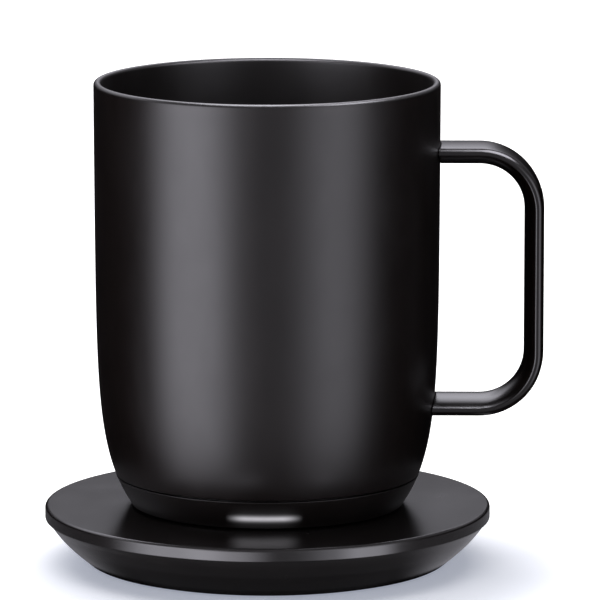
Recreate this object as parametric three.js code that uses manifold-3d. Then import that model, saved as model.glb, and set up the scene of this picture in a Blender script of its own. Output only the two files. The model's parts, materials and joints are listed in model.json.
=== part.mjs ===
// A self heating mug standing on its round charging coaster.
// Millimetres, +Z up. The origin is the centre of the coaster's foot pad, where it meets the table.
// The handle points along +X and the mug's light faces -Y.

import * as THREE from 'three';
import { mergeVertices } from 'three/addons/utils/BufferGeometryUtils.js';
import Module from 'manifold-3d';

const wasm = await Module();
wasm.setup();

// Clearances shared by the whole assembly
const seatGap = 0.05;
const fitGap = 0.3;
const holeGap = 0.2;
const cutOverrun = 1;

// Smoothness of the round forms
const bodySteps = 40;
const discSteps = 20;
const smallSteps = 8;
const cornerSteps = 3;
const shellCurveSteps = 8;
const bandCurveSteps = 3;
const bowlCurveSteps = 4;

// Outside of the mug: a nearly straight wall that draws in towards its foot
const mugHeight = 111.4;
const rimRadius = 45;
const bodyLean = 0.4;
const tuckDepth = 9.5;
const tuckLength = 13;
const shellWall = 0.7;
const lipWidth = 2;
const lipSkirt = 0.4;
const seamHeight = 8.1;
const seamGap = 0.35;

// Inside of the mug
const cupWall = 0.7;
const cupFootInset = 3.8;
const cupFilletRadius = 10;

// Handle: a bar with a flat outside between rounded shoulders, short sides and a rounded inside
const handleReach = 26.95;
const handleTop = 95.35;
const handleBottom = 24.4;
const handleBendRadius = 16.8;
const handleWidth = 16;
const handleCrown = 1.17;
const handleShoulder = 1.25;
const handleShoulderPower = 1.5;
const handleSide = 0.9;
const handleBelly = 3;
const handleBellySteps = 7;
const handleShoulderSteps = 3;
const handleSteps = 34;
const handleRoot = 8;

// Lower band of the mug, with its light
const footProud = 0.5;
const bandFootWall = 1.7;
const bandWall = 1.6;
const bandEdgeRadius = 0.4;
const bandFlange = 1.8;
const ledgeHeight = 5.6;
const ledgeThickness = 1.2;
const spigotHeight = 4;
const spigotWall = 1.2;
const lightLength = 19.4;
const lightHeight = 2.1;
const lightCentre = 3.7;
const lightBoardLength = 12;
const lightBoardHeight = 2.8;
const lightBoardThickness = 0.7;
const lampCount = 3;
const lampSize = 1.6;
const lampProud = 0.5;
const lampSpacing = 3;

// Bottom cover of the mug, its seal, foot ring and charging contacts
const coverThickness = 3.3;
const pocketClearance = 0.8;
const pocketWall = 1.64;
const sealThickness = 1.2;
const sealGrooveDepth = 1.1;
const sealHeight = 0.9;
const footRingWidth = 4.6;
const footRingInset = 2.7;
const footRingSunk = 0.5;
const contactThickness = 0.6;
const contactProud = 0.1;
const contactWidth = 3;
const innerContactShare = 0.51;
const outerContactShare = 0.755;
const contactLegRadius = 0.7;
const innerLegTurn = 45;
const outerLegTurn = 0;

// Power button in the middle of the bottom
const buttonShare = 0.265;
const buttonFlangeWidth = 1.5;
const buttonFlange = 1;
const buttonSunk = 1.3;
const buttonDish = 0.3;
const buttonBevel = 0.3;
const buttonTravel = 0.8;
const switchOvertravel = 0.1;
const plungerRadius = 1.5;
const plungerLength = 0.7;
const switchSize = 6;
const switchHeight = 2;

// Electronics and the frame that holds them
const boardThickness = 1.2;
const boardMargin = 0.6;
const radioLength = 12;
const radioWidth = 8;
const radioHeight = 1.8;
const radioShare = 0.617;
const skirtWall = 1.5;
const plateThickness = 1.4;
const pegHeight = 1.2;
const pegRadius = 1.8;
const pegCount = 3;
const pegTurn = 90;
const bossRadius = 1.9;
const cellLengthShare = 1.136;
const cellWidthShare = 0.688;
const cellHeight = 9;
const cellCornerRadius = 2;
const cellSpacing = 1.5;
const trayWall = 1.2;
const trayHeight = 4;
const tabThickness = 0.4;
const tabBarLength = 18;
const tabBarHeight = 3;
const tabTailWidth = 4;
const tabRise = 4;

// Heater under the cup's flat floor
const insulationInset = 0.2;
const insulationThickness = 1.5;
const filmThickness = 0.4;
const trackCount = 11;
const trackWidth = 3;
const trackInset = 3.2;
const leadShare = 0.906;
const leadRadius = 0.6;
const spreaderInset = 0.7;
const spreaderThickness = 1.5;
const beadRadius = 1.5;
const beadHeight = 1.3;
const beadStemRadius = 0.5;

// Screws
const coverScrewHead = 2.1;
const coverScrewHeadHeight = 1;
const coverScrewShank = 0.9;
const coverScrewBite = 5;
const coasterScrewHead = 2.4;
const coasterScrewHeadHeight = 1.4;
const coasterScrewShank = 1;
const coasterScrewBite = 3.2;
const screwCount = 4;
const screwTurn = 45;
const driveRadius = 0.8;
const driveDepth = 0.5;

// Charging coaster
const coasterHeight = 15;
const coasterRadius = 58.2;
const edgeBandHeight = 3.4;
const edgeBandWall = 1.6;
const edgeRound = 0.6;
const topPlate = 1.8;
const bossTopHeight = 1.5;
const bossTopRound = 0.5;
const bossRoundSteps = 2;
const dimpleDepth = 0.6;
const dimpleMargin = 2.5;
const bowlStep = 0.5;
const bowlFootRadius = 47;
const bowlBulge = 0.45;
const bowlWall = 2.2;
const bowlFloor = 1.8;
const padProud = 0.5;
const padSunk = 0.3;
const padMargin = 1.8;
const coasterPostRadius = 3.2;
const coasterPostCircle = 36;
const coasterPostHeight = 6.2;
const coasterBoardRadius = 28;
const coasterBoardRise = 3.1;
const coasterPegCircle = 22;

// Sprung charging pins
const pinRadius = 1.1;
const pinShoulderRadius = 1.4;
const pinShoulderHeight = 0.8;
const pinSpigotRadius = 0.6;
const pinSpigotLength = 0.7;
const pinProud = 0.68;
const pinFreeRise = 1;
const barrelWall = 0.45;
const barrelFloor = 0.6;
const barrelLip = 0.5;
const barrelCrest = 0.6;
const pinTipSteps = 3;
const springWire = 0.35;
const springTurns = 5;
const springStepsPerTurn = 8;
const springSides = 5;

// Cable gland in the back of the coaster
const glandRadius = 3.4;
const glandBore = 2.1;
const glandFlangeRadius = 4.6;
const glandFlangeThickness = 1.2;
const glandProud = 4;
const glandHeight = 7.5;

// Colours and finishes
const satinBlack = { color: 0x1b1a1b, roughness: 0.36, metalness: 0.35 };
const bandBlack = { color: 0x141314, roughness: 0.4, metalness: 0.1 };
const mouldedBlack = { color: 0x19191a, roughness: 0.55, metalness: 0 };
const rubberBlack = { color: 0x101010, roughness: 0.85, metalness: 0 };
const gold = { color: 0xd9a441, roughness: 0.25, metalness: 1 };
const steel = { color: 0xb9bbbe, roughness: 0.3, metalness: 1 };
const nickel = { color: 0xa9a9a4, roughness: 0.35, metalness: 1 };
const aluminium = { color: 0xc8c9cb, roughness: 0.4, metalness: 1 };
const copper = { color: 0xb8693a, roughness: 0.35, metalness: 1 };
const boardGreen = { color: 0x1d4a2c, roughness: 0.5, metalness: 0 };
const cellBlue = { color: 0x2d4d7a, roughness: 0.45, metalness: 0.1 };
const foamGrey = { color: 0x8b8b86, roughness: 0.95, metalness: 0 };
const frameGrey = { color: 0x4a4b4d, roughness: 0.6, metalness: 0 };
const lampWhite = { color: 0xf2f0ea, roughness: 0.3, metalness: 0 };
const wireRed = { color: 0x9c2b26, roughness: 0.5, metalness: 0 };

// Heights worked out from the sizes above. Those of the mug count from the coaster's top plate.
const bandBottom = footProud;
const coverBottom = bandBottom;
const coverTop = coverBottom + coverThickness;
const pocketTop = bossTopHeight + pocketClearance;
const contactBottom = pocketTop - contactProud;
const contactTop = contactBottom + contactThickness;
const buttonFace = coverBottom + buttonSunk;
const buttonFlangeBottom = coverTop + seatGap;
const buttonTop = buttonFlangeBottom + buttonFlange;
const plungerBottom = buttonTop + buttonTravel + switchOvertravel;
const switchBottom = plungerBottom + plungerLength;
const boardBottom = switchBottom + switchHeight;
const boardTop = boardBottom + boardThickness;
const plateBottom = boardTop + seatGap + pegHeight;
const plateTop = plateBottom + plateThickness;
const cellBottom = plateTop + seatGap;
const cellTop = cellBottom + cellHeight;
const insulationBottom = cellTop + fitGap;
const insulationTop = insulationBottom + insulationThickness;
const filmBottom = insulationTop + seatGap;
const filmTop = filmBottom + filmThickness;
const spreaderBottom = filmTop + seatGap;
const spreaderTop = spreaderBottom + spreaderThickness;
const cupUnderside = spreaderTop + seatGap;
const cupFloor = cupUnderside + cupWall;
const lipRadius = lipWidth / 2;
const lipTop = mugHeight - lipRadius;
const lipBottom = lipTop - lipSkirt;
const shellTop = lipBottom - seatGap;
const shellBottom = seamHeight + seamGap;
const ledgeTop = ledgeHeight + ledgeThickness;
const flangeTop = bandBottom + bandFlange;

// Radii worked out from the sizes above
const bandBore = mugRadius(bandBottom) - bandFootWall;
const coverRadius = bandBore - fitGap;
const frameRadius = coverRadius;
const ledgeRadius = frameRadius - skirtWall - fitGap;
const spigotRadius = mugRadius(shellBottom) - shellWall - fitGap;
const footRingOuter = coverRadius - footRingInset;
const footRingInner = footRingOuter - footRingWidth;
const coverScrewCircle = (footRingOuter + footRingInner) / 2;
const pocketRadius = footRingInner - pocketWall;
const bossTopRadius = pocketRadius - fitGap - holeGap;
const innerContactRadius = innerContactShare * pocketRadius;
const outerContactRadius = outerContactShare * pocketRadius;
const buttonRadius = buttonShare * pocketRadius;
const boardRadius = coverScrewCircle - bossRadius - boardMargin;
const pegCircle = boardRadius - pegRadius - boardMargin;
const radioOffset = radioShare * boardRadius;
const leadOffset = leadShare * boardRadius;
const cellLength = cellLengthShare * frameRadius;
const cellWidth = cellWidthShare * frameRadius;
const cupFootRadius = rimRadius - cupFootInset;
const cupFlatRadius = cupFootRadius - cupFilletRadius;
const insulationRadius = cupFlatRadius - insulationInset;
const spreaderRadius = cupFlatRadius - spreaderInset;
const trackFieldRadius = cupFlatRadius - trackInset;

// Heights of the coaster, counted from the table
const bowlBottom = padProud;
const bowlTop = coasterHeight - edgeBandHeight - seatGap;
const recessTop = bowlBottom + padSunk;
const floorTop = recessTop + bowlFloor;
const plateUnderside = coasterHeight - topPlate;
const bossTop = coasterHeight + bossTopHeight;
const postTop = floorTop + coasterPostHeight;
const coasterBoardBottom = floorTop + coasterBoardRise + seatGap;
const coasterBoardTop = coasterBoardBottom + boardThickness;
const padRadius = bowlFootRadius - padMargin;
const bowlRimRadius = coasterRadius - bowlStep;
const barrelBottom = coasterBoardTop + seatGap;
const barrelTop = bossTop - barrelCrest;
const barrelBore = pinShoulderRadius + holeGap;
const barrelRadius = barrelBore + barrelWall;
const pinShoulderTop = barrelTop - barrelLip - pinFreeRise;
const pinShoulderBottom = pinShoulderTop - pinShoulderHeight;
const springBottom = barrelBottom + barrelFloor + seatGap;
const springTop = pinShoulderBottom - seatGap;

// The mug's outer radius at a height above the coaster
function mugRadius(z) {
  return rimRadius - bodyLean * (1 - z / mugHeight) - tuckDepth * Math.exp(-z / tuckLength);
}

// Merges equal vertices and drops the empty triangles that meet the axis
function welded(geometry) {
  const bare = geometry.clone();
  bare.deleteAttribute('normal');
  bare.deleteAttribute('uv');
  const merged = mergeVertices(bare);
  const corners = merged.index.array;
  const kept = [];
  for (let i = 0; i < corners.length; i += 3) {
    const [a, b, c] = corners.slice(i, i + 3);
    if (a !== b && b !== c && c !== a) kept.push(a, b, c);
  }
  merged.setIndex(kept);
  return merged;
}

function toSolid(geometry) {
  const source = welded(geometry);
  const vertProperties = new Float32Array(source.attributes.position.array);
  const triVerts = new Uint32Array(source.index.array);
  return new wasm.Manifold(new wasm.Mesh({ numProp: 3, vertProperties, triVerts }));
}

function toGeometry(solid) {
  const mesh = solid.getMesh();
  const geometry = new THREE.BufferGeometry();
  geometry.setAttribute('position', new THREE.BufferAttribute(mesh.vertProperties, 3));
  geometry.setIndex(new THREE.BufferAttribute(mesh.triVerts, 1));
  return geometry;
}

// Joins the first geometry with others, then cuts away the rest
function carve(base, joined, removed) {
  let solid = toSolid(base);
  for (const geometry of joined) solid = solid.add(toSolid(geometry));
  for (const geometry of removed) solid = solid.subtract(toSolid(geometry));
  return toGeometry(solid);
}

function overlap(first, second) {
  return toGeometry(toSolid(first).intersect(toSolid(second)));
}

// Turns an outline of [radius, height] points about the Z axis
function revolve(outline, steps = bodySteps) {
  const points = outline.map(([radius, height]) => new THREE.Vector2(radius, height));
  if (THREE.ShapeUtils.area(points) < 0) points.reverse();
  if (points[0].x > 0 || points.at(-1).x > 0) points.push(points[0].clone());
  return new THREE.LatheGeometry(points, steps).rotateX(Math.PI / 2);
}

function disc(radius, bottom, top, steps = discSteps) {
  return revolve([[0, bottom], [radius, bottom], [radius, top], [0, top]], steps);
}

function ring(inner, outer, bottom, top, steps = discSteps) {
  return revolve([[inner, bottom], [outer, bottom], [outer, top], [inner, top]], steps);
}

function rod(x, y, radius, bottom, top) {
  return disc(radius, bottom, top, smallSteps).translate(x, y, 0);
}

function block([x0, x1], [y0, y1], [z0, z1]) {
  const box = new THREE.BoxGeometry(x1 - x0, y1 - y0, z1 - z0);
  return box.translate((x0 + x1) / 2, (y0 + y1) / 2, (z0 + z1) / 2);
}

// An outline in X and Y, raised from one height to another
function prism(shape, bottom, top, curveSegments = cornerSteps) {
  const settings = { depth: top - bottom, bevelEnabled: false, curveSegments };
  return new THREE.ExtrudeGeometry(shape, settings).translate(0, 0, bottom);
}

// An outline in X and Z, pushed along Y from one place to another
function prismAlongY(shape, from, to, curveSegments = cornerSteps) {
  return prism(shape, -to, -from, curveSegments).rotateX(Math.PI / 2);
}

function roundedRectangle(length, width, radius) {
  const x = length / 2;
  const y = width / 2;
  const shape = new THREE.Shape();
  shape.moveTo(-x + radius, -y);
  shape.lineTo(x - radius, -y);
  shape.absarc(x - radius, -y + radius, radius, -Math.PI / 2, 0);
  shape.absarc(x - radius, y - radius, radius, 0, Math.PI / 2);
  shape.absarc(-x + radius, y - radius, radius, Math.PI / 2, Math.PI);
  shape.absarc(-x + radius, -y + radius, radius, Math.PI, 1.5 * Math.PI);
  return shape;
}

// Points of a round corner in an outline, about a centre
function arc(centreRadius, centreHeight, radius, startDegrees, endDegrees, steps = cornerSteps) {
  const points = [];
  for (let i = 0; i <= steps; i += 1) {
    const turn = THREE.MathUtils.degToRad(startDegrees + (endDegrees - startDegrees) * i / steps);
    points.push([centreRadius + radius * Math.cos(turn), centreHeight + radius * Math.sin(turn)]);
  }
  return points;
}

// The mug's outer curve between two heights, closer together where it bends more
function mugCurve(bottom, top, steps, inset = 0) {
  const points = [];
  for (let i = 0; i <= steps; i += 1) {
    const z = bottom + (top - bottom) * (i / steps) ** 2;
    points.push([mugRadius(z) - inset, z]);
  }
  return points;
}

// Copies of something about the Z axis
function around(count, startDegrees, make) {
  const copies = [];
  for (let i = 0; i < count; i += 1) {
    copies.push(make(THREE.MathUtils.degToRad(startDegrees + 360 * i / count), i));
  }
  return copies;
}

function at(circle, turn) {
  return [circle * Math.cos(turn), circle * Math.sin(turn)];
}

function piece(name, geometry, finish) {
  const shown = welded(geometry);
  shown.computeVertexNormals();
  const mesh = new THREE.Mesh(shown, new THREE.MeshStandardMaterial(finish));
  mesh.name = name;
  return mesh;
}

// Double wall of the mug
function makeOuterShell() {
  const outside = mugCurve(shellBottom, shellTop, shellCurveSteps);
  const inside = mugCurve(shellBottom, shellTop, shellCurveSteps, shellWall).reverse();
  return piece('outer_shell', revolve([...outside, ...inside]), satinBlack);
}

function makeInnerCup() {
  const lipInner = rimRadius - lipWidth;
  const filletTop = cupFloor + cupFilletRadius;
  const fillet = arc(cupFlatRadius, filletTop, cupFilletRadius, 270, 360);
  const outerFillet = arc(cupFlatRadius, filletTop, cupFilletRadius + cupWall, 360, 270);
  const lip = arc(rimRadius - lipRadius, lipTop, lipRadius, 180, 0, 2 * cornerSteps);
  const outline = [
    [0, cupFloor],
    ...fillet,
    ...lip,
    [mugRadius(lipBottom), lipBottom],
    [lipInner + cupWall, lipBottom],
    ...outerFillet,
    [0, cupUnderside],
  ];
  return piece('inner_cup', revolve(outline), satinBlack);
}

// Centre line of the handle, from inside the upper wall round to inside the lower wall
class HandleLine extends THREE.Curve {
  constructor(start, reach, bend, top, bottom) {
    super();
    this.arm = reach - bend - start;
    this.bendLength = bend * Math.PI / 2;
    this.grip = top - bottom - 2 * bend;
    this.start = start;
    this.reach = reach;
    this.bend = bend;
    this.top = top;
    this.bottom = bottom;
  }

  getPoint(share) {
    const whole = 2 * this.arm + 2 * this.bendLength + this.grip;
    const middle = (this.top + this.bottom) / 2;
    const along = Math.min(share, 1 - share) * whole;
    const side = share <= 0.5 ? 1 : -1;
    let x = this.start + along;
    let drop = 0;
    if (along > this.arm + this.bendLength) {
      x = this.reach;
      drop = this.bend + along - this.arm - this.bendLength;
    } else if (along > this.arm) {
      const turn = (along - this.arm) / this.bend;
      x = this.reach - this.bend + this.bend * Math.sin(turn);
      drop = this.bend * (1 - Math.cos(turn));
    }
    return new THREE.Vector3(x, 0, middle + side * (this.top - middle - drop));
  }
}

// Section of the handle: X runs from the flat outside to the rounded inside, Y across its width
function handleSection() {
  const half = handleWidth / 2;
  const bellyRadius = (half * half + handleBelly * handleBelly) / (2 * handleBelly);
  const bellyTurn = Math.asin(half / bellyRadius);
  const belly = [];
  const shoulder = [];
  for (let i = 0; i <= handleBellySteps; i += 1) {
    const turn = bellyTurn * (2 * i / handleBellySteps - 1);
    belly.push([handleBelly - bellyRadius * (1 - Math.cos(turn)), bellyRadius * Math.sin(turn)]);
  }
  for (let i = 0; i <= handleShoulderSteps; i += 1) {
    const turn = Math.PI / 2 * i / handleShoulderSteps;
    const rise = handleCrown * Math.sin(turn) ** handleShoulderPower;
    const reach = handleShoulder * (1 - Math.cos(turn) ** handleShoulderPower);
    shoulder.push([-handleSide - rise, half - reach]);
  }
  const mirrored = shoulder.map(([x, y]) => [x, -y]).reverse();
  return new THREE.Shape([...belly, ...shoulder, ...mirrored].map(([x, y]) => new THREE.Vector2(x, y)));
}

function makeHandle() {
  const crease = handleCrown + handleSide;
  const line = new HandleLine(
    rimRadius - handleRoot,
    rimRadius + handleReach - crease,
    handleBendRadius - crease,
    handleTop - crease,
    handleBottom + crease,
  );
  const bar = new THREE.ExtrudeGeometry(handleSection(), { steps: handleSteps, extrudePath: line });
  const body = [
    [0, shellBottom],
    ...mugCurve(shellBottom, mugHeight, shellCurveSteps, -fitGap),
    [0, mugHeight],
  ];
  return piece('handle', carve(bar, [], [revolve(body)]), satinBlack);
}

// Lower band, with the slot that its light shines through
function bandBody() {
  const foot = mugRadius(bandBottom);
  const spigotBore = spigotRadius - spigotWall;
  const outline = [
    [bandBore, bandBottom],
    [foot - bandEdgeRadius, bandBottom],
    ...mugCurve(bandBottom + bandEdgeRadius, seamHeight, bandCurveSteps),
    [spigotRadius, seamHeight],
    [spigotRadius, seamHeight + spigotHeight],
    [spigotBore, seamHeight + spigotHeight],
    [spigotBore, ledgeTop],
    [ledgeRadius, ledgeTop],
    [ledgeRadius, ledgeHeight],
    [mugRadius(ledgeHeight) - bandWall, ledgeHeight],
    [mugRadius(flangeTop) - bandWall, flangeTop],
    [bandBore, flangeTop],
  ];
  return revolve(outline);
}

function lightOutline(margin) {
  const shape = new THREE.Shape();
  shape.absellipse(0, lightCentre, lightLength / 2 - margin, lightHeight / 2 - margin, 0, 2 * Math.PI);
  return shape;
}

function lightPrism(margin) {
  return prismAlongY(lightOutline(margin), -rimRadius, -ledgeRadius, 2 * cornerSteps);
}

function makeBaseRing() {
  return piece('base_ring', carve(bandBody(), [], [lightPrism(0)]), bandBlack);
}

function makeLightWindow() {
  return piece('led_window', overlap(bandBody(), lightPrism(fitGap / 2)), lampWhite);
}

function makeLightBoard() {
  const back = -bandBore;
  const front = back - lightBoardThickness;
  const low = flangeTop + seatGap;
  const x = lightBoardLength / 2;
  const board = block([-x, x], [front, back], [low, low + lightBoardHeight]);
  const lamps = [];
  for (let i = 0; i < lampCount; i += 1) {
    const centre = (i - (lampCount - 1) / 2) * lampSpacing;
    const half = lampSize / 2;
    const proud = [front - lampProud, front + lightBoardThickness / 2];
    lamps.push(block([centre - half, centre + half], proud, [lightCentre - half, lightCentre + half]));
  }
  return piece('led_board', carve(board, lamps, []), boardGreen);
}

// Bottom cover with the pocket that fits over the coaster's boss
function makeBaseCover() {
  const grooveBottom = coverBottom + sealHeight - sealThickness / 2;
  const outline = [
    [0, pocketTop],
    [pocketRadius, pocketTop],
    [pocketRadius, coverBottom],
    [coverRadius, coverBottom],
    [coverRadius, grooveBottom],
    [coverRadius - sealGrooveDepth, grooveBottom],
    [coverRadius - sealGrooveDepth, grooveBottom + sealThickness],
    [coverRadius, grooveBottom + sealThickness],
    [coverRadius, coverTop],
    [0, coverTop],
  ];
  const footTop = coverBottom + footRingSunk;
  const low = coverBottom - cutOverrun;
  const high = coverTop + cutOverrun;
  const cuts = [
    ring(footRingInner - holeGap, footRingOuter + holeGap, low, footTop, bodySteps),
    disc(buttonRadius + fitGap, low, high),
  ];
  for (const radius of [innerContactRadius, outerContactRadius]) {
    const half = contactWidth / 2 + holeGap;
    cuts.push(ring(radius - half, radius + half, low, contactTop + seatGap));
    around(2, legTurn(radius), (turn) => {
      cuts.push(rod(...at(radius, turn), contactLegRadius + holeGap, low, high));
    });
  }
  around(screwCount, screwTurn, (turn) => {
    const place = at(coverScrewCircle, turn);
    cuts.push(rod(...place, coverScrewHead + holeGap, low, footTop + coverScrewHeadHeight + holeGap));
    cuts.push(rod(...place, coverScrewShank + holeGap, low, high));
  });
  return piece('base_cover', carve(revolve(outline), [], cuts), mouldedBlack);
}

// Degrees at which a contact ring's legs rise to the board
function legTurn(radius) {
  return radius === innerContactRadius ? innerLegTurn : outerLegTurn;
}

function makeContactRing(name, radius) {
  const half = contactWidth / 2;
  const legTop = boardBottom - seatGap;
  const legs = around(2, legTurn(radius), (turn) => (
    rod(...at(radius, turn), contactLegRadius, contactTop - contactThickness / 2, legTop)
  ));
  return piece(name, carve(ring(radius - half, radius + half, contactBottom, contactTop), legs, []), gold);
}

function makeBaseSeal() {
  const sealRadius = sealThickness / 2 - seatGap;
  const centre = coverRadius - sealGrooveDepth + sealRadius + seatGap;
  const section = arc(centre, coverBottom + sealHeight, sealRadius, 0, 360, 2 * cornerSteps);
  return piece('base_seal', revolve(section.slice(1)), rubberBlack);
}

function makeFootRing() {
  const top = coverBottom + footRingSunk - seatGap;
  return piece('mug_foot_ring', ring(footRingInner, footRingOuter, 0, top, bodySteps), rubberBlack);
}

function makePowerButton() {
  const flangeRadius = buttonRadius + buttonFlangeWidth;
  const dishRadius = buttonRadius - 2 * buttonBevel;
  const outline = [
    [0, buttonFace + buttonDish],
    [dishRadius - buttonBevel, buttonFace + buttonDish],
    [dishRadius, buttonFace],
    [buttonRadius, buttonFace],
    [buttonRadius, buttonFlangeBottom],
    [flangeRadius, buttonFlangeBottom],
    [flangeRadius, buttonTop],
    [0, buttonTop],
  ];
  return piece('power_button', revolve(outline, discSteps), mouldedBlack);
}

function makeSwitch() {
  const half = switchSize / 2;
  const body = block([-half, half], [-half, half], [switchBottom, boardBottom - seatGap]);
  const plunger = rod(0, 0, plungerRadius, plungerBottom, switchBottom + switchHeight / 2);
  return piece('tact_switch', carve(body, [plunger], []), steel);
}

function makeControlBoard() {
  return piece('control_board', disc(boardRadius, boardBottom, boardTop), boardGreen);
}

function makeRadioModule() {
  const x = radioLength / 2;
  const y = radioWidth / 2;
  const high = boardBottom - seatGap;
  const can = block([-x, x], [radioOffset - y, radioOffset + y], [high - radioHeight, high]);
  return piece('radio_module', can, nickel);
}

// Frame that carries the board below and the cells above
function makeChassis() {
  const skirt = frameRadius - skirtWall;
  const outline = [
    [0, plateBottom],
    [skirt, plateBottom],
    [skirt, ledgeTop + seatGap],
    [frameRadius, ledgeTop + seatGap],
    [frameRadius, plateTop],
    [0, plateTop],
  ];
  const x = cellLength / 2 + tabThickness + fitGap;
  const y = cellWidth + cellSpacing / 2 + holeGap;
  const tray = block(
    [-x - trayWall, x + trayWall],
    [-y - trayWall, y + trayWall],
    [plateBottom + plateThickness / 2, plateTop + trayHeight],
  );
  const high = plateTop + trayHeight + cutOverrun;
  const low = coverTop - cutOverrun;
  const hollow = block([-x, x], [-y, y], [plateTop, high]);
  const posts = around(screwCount, screwTurn, (turn) => (
    rod(...at(coverScrewCircle, turn), bossRadius, coverTop + seatGap, plateTop - plateThickness / 2)
  ));
  const pegs = around(pegCount, pegTurn, (turn) => (
    rod(...at(pegCircle, turn), pegRadius, boardTop + seatGap, plateTop - plateThickness / 2)
  ));
  const frame = overlap(revolve(outline), disc(frameRadius, low, high, bodySteps));
  const trimmedTray = overlap(tray, disc(frameRadius, low, high, bodySteps));
  const hole = leadRadius + holeGap;
  const cuts = [
    hollow,
    rod(leadOffset, 0, hole, low, high),
    rod(-leadOffset, 0, hole, low, high),
    rod(0, 0, beadStemRadius + holeGap, low, high),
    ...around(screwCount, screwTurn, (turn) => (
      rod(...at(coverScrewCircle, turn), coverScrewShank + holeGap, low, coverTop + coverScrewBite + fitGap)
    )),
    ...[-1, 1].map((side) => block(
      [side * (cellLength / 2 - fitGap), side * (x + fitGap)].sort((a, b) => a - b),
      [-tabTailWidth / 2 - fitGap, tabTailWidth / 2 + fitGap],
      [low, plateTop + cutOverrun],
    )),
  ];
  return piece('chassis', carve(frame, [trimmedTray, ...posts, ...pegs], cuts), frameGrey);
}

function makeCell(name, side) {
  const shape = roundedRectangle(cellLength, cellWidth, cellCornerRadius);
  const y = side * (cellSpacing + cellWidth) / 2;
  return piece(name, prism(shape, cellBottom, cellTop).translate(0, y, 0), cellBlue);
}

// Nickel strip that joins the cells' ends and runs down to the board
function makeTab(name, side) {
  const near = cellLength / 2 + seatGap;
  const faces = [side * near, side * (near + tabThickness)].sort((a, b) => a - b);
  const barBottom = cellBottom + tabRise;
  const bar = block(faces, [-tabBarLength / 2, tabBarLength / 2], [barBottom, barBottom + tabBarHeight]);
  const tail = block(
    faces,
    [-tabTailWidth / 2, tabTailWidth / 2],
    [boardTop + seatGap, barBottom + tabBarHeight / 2],
  );
  return piece(name, carve(bar, [tail], []), nickel);
}

function makeInsulation() {
  const low = insulationBottom - cutOverrun;
  const high = insulationTop + cutOverrun;
  const cuts = [
    rod(leadOffset, 0, leadRadius + holeGap, low, high),
    rod(-leadOffset, 0, leadRadius + holeGap, low, high),
    rod(0, 0, beadRadius + holeGap, low, high),
  ];
  const sheet = disc(insulationRadius, insulationBottom, insulationTop);
  return piece('insulation_disc', carve(sheet, [], cuts), foamGrey);
}

// Etched heating track: straight runs joined by turns at alternate ends
function makeHeaterFilm() {
  const pitch = 2 * leadOffset / (trackCount - 1);
  const half = trackWidth / 2;
  const height = [filmBottom, filmTop];
  const reach = (x) => Math.sqrt(trackFieldRadius ** 2 - x ** 2);
  const runs = [];
  for (let i = 0; i < trackCount; i += 1) {
    const x = -leadOffset + i * pitch;
    const end = reach(x);
    runs.push(block([x - half, x + half], [-end, end], height));
    if (i + 1 < trackCount) {
      const side = i % 2 === 0 ? 1 : -1;
      const shorter = Math.min(end, reach(x + pitch));
      const span = [side * shorter, side * (shorter - trackWidth)].sort((a, b) => a - b);
      runs.push(block([x - half, x + pitch + half], span, height));
    }
  }
  return piece('heater_film', carve(runs[0], runs.slice(1), []), copper);
}

function makeSpreader() {
  return piece('heat_spreader', disc(spreaderRadius, spreaderBottom, spreaderTop), aluminium);
}

function makeThermistor() {
  const top = filmBottom - seatGap;
  const stem = rod(0, 0, beadStemRadius, boardTop + seatGap, top - beadHeight / 2);
  return piece('thermistor', carve(rod(0, 0, beadRadius, top - beadHeight, top), [stem], []), lampWhite);
}

function makeHeaterLead(name, side, finish) {
  const lead = rod(side * leadOffset, 0, leadRadius, boardTop + seatGap, filmBottom - seatGap);
  return piece(name, lead, finish);
}

// Screw with its head down, standing on its own head at a height
function screwBody(headRadius, headHeight, shankRadius, bottom, top) {
  return revolve([
    [0, bottom + driveDepth],
    [driveRadius, bottom + driveDepth],
    [driveRadius, bottom],
    [headRadius, bottom],
    [headRadius, bottom + headHeight],
    [shankRadius, bottom + headHeight],
    [shankRadius, top],
    [0, top],
  ], smallSteps);
}

function makeCoverScrews() {
  const bottom = coverBottom + footRingSunk + seatGap;
  return around(screwCount, screwTurn, (turn, i) => {
    const [x, y] = at(coverScrewCircle, turn);
    const body = screwBody(
      coverScrewHead,
      coverScrewHeadHeight,
      coverScrewShank,
      bottom,
      coverTop + coverScrewBite,
    );
    return piece(`cover_screw_${i + 1}`, body.translate(x, y, 0), steel);
  });
}

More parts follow.
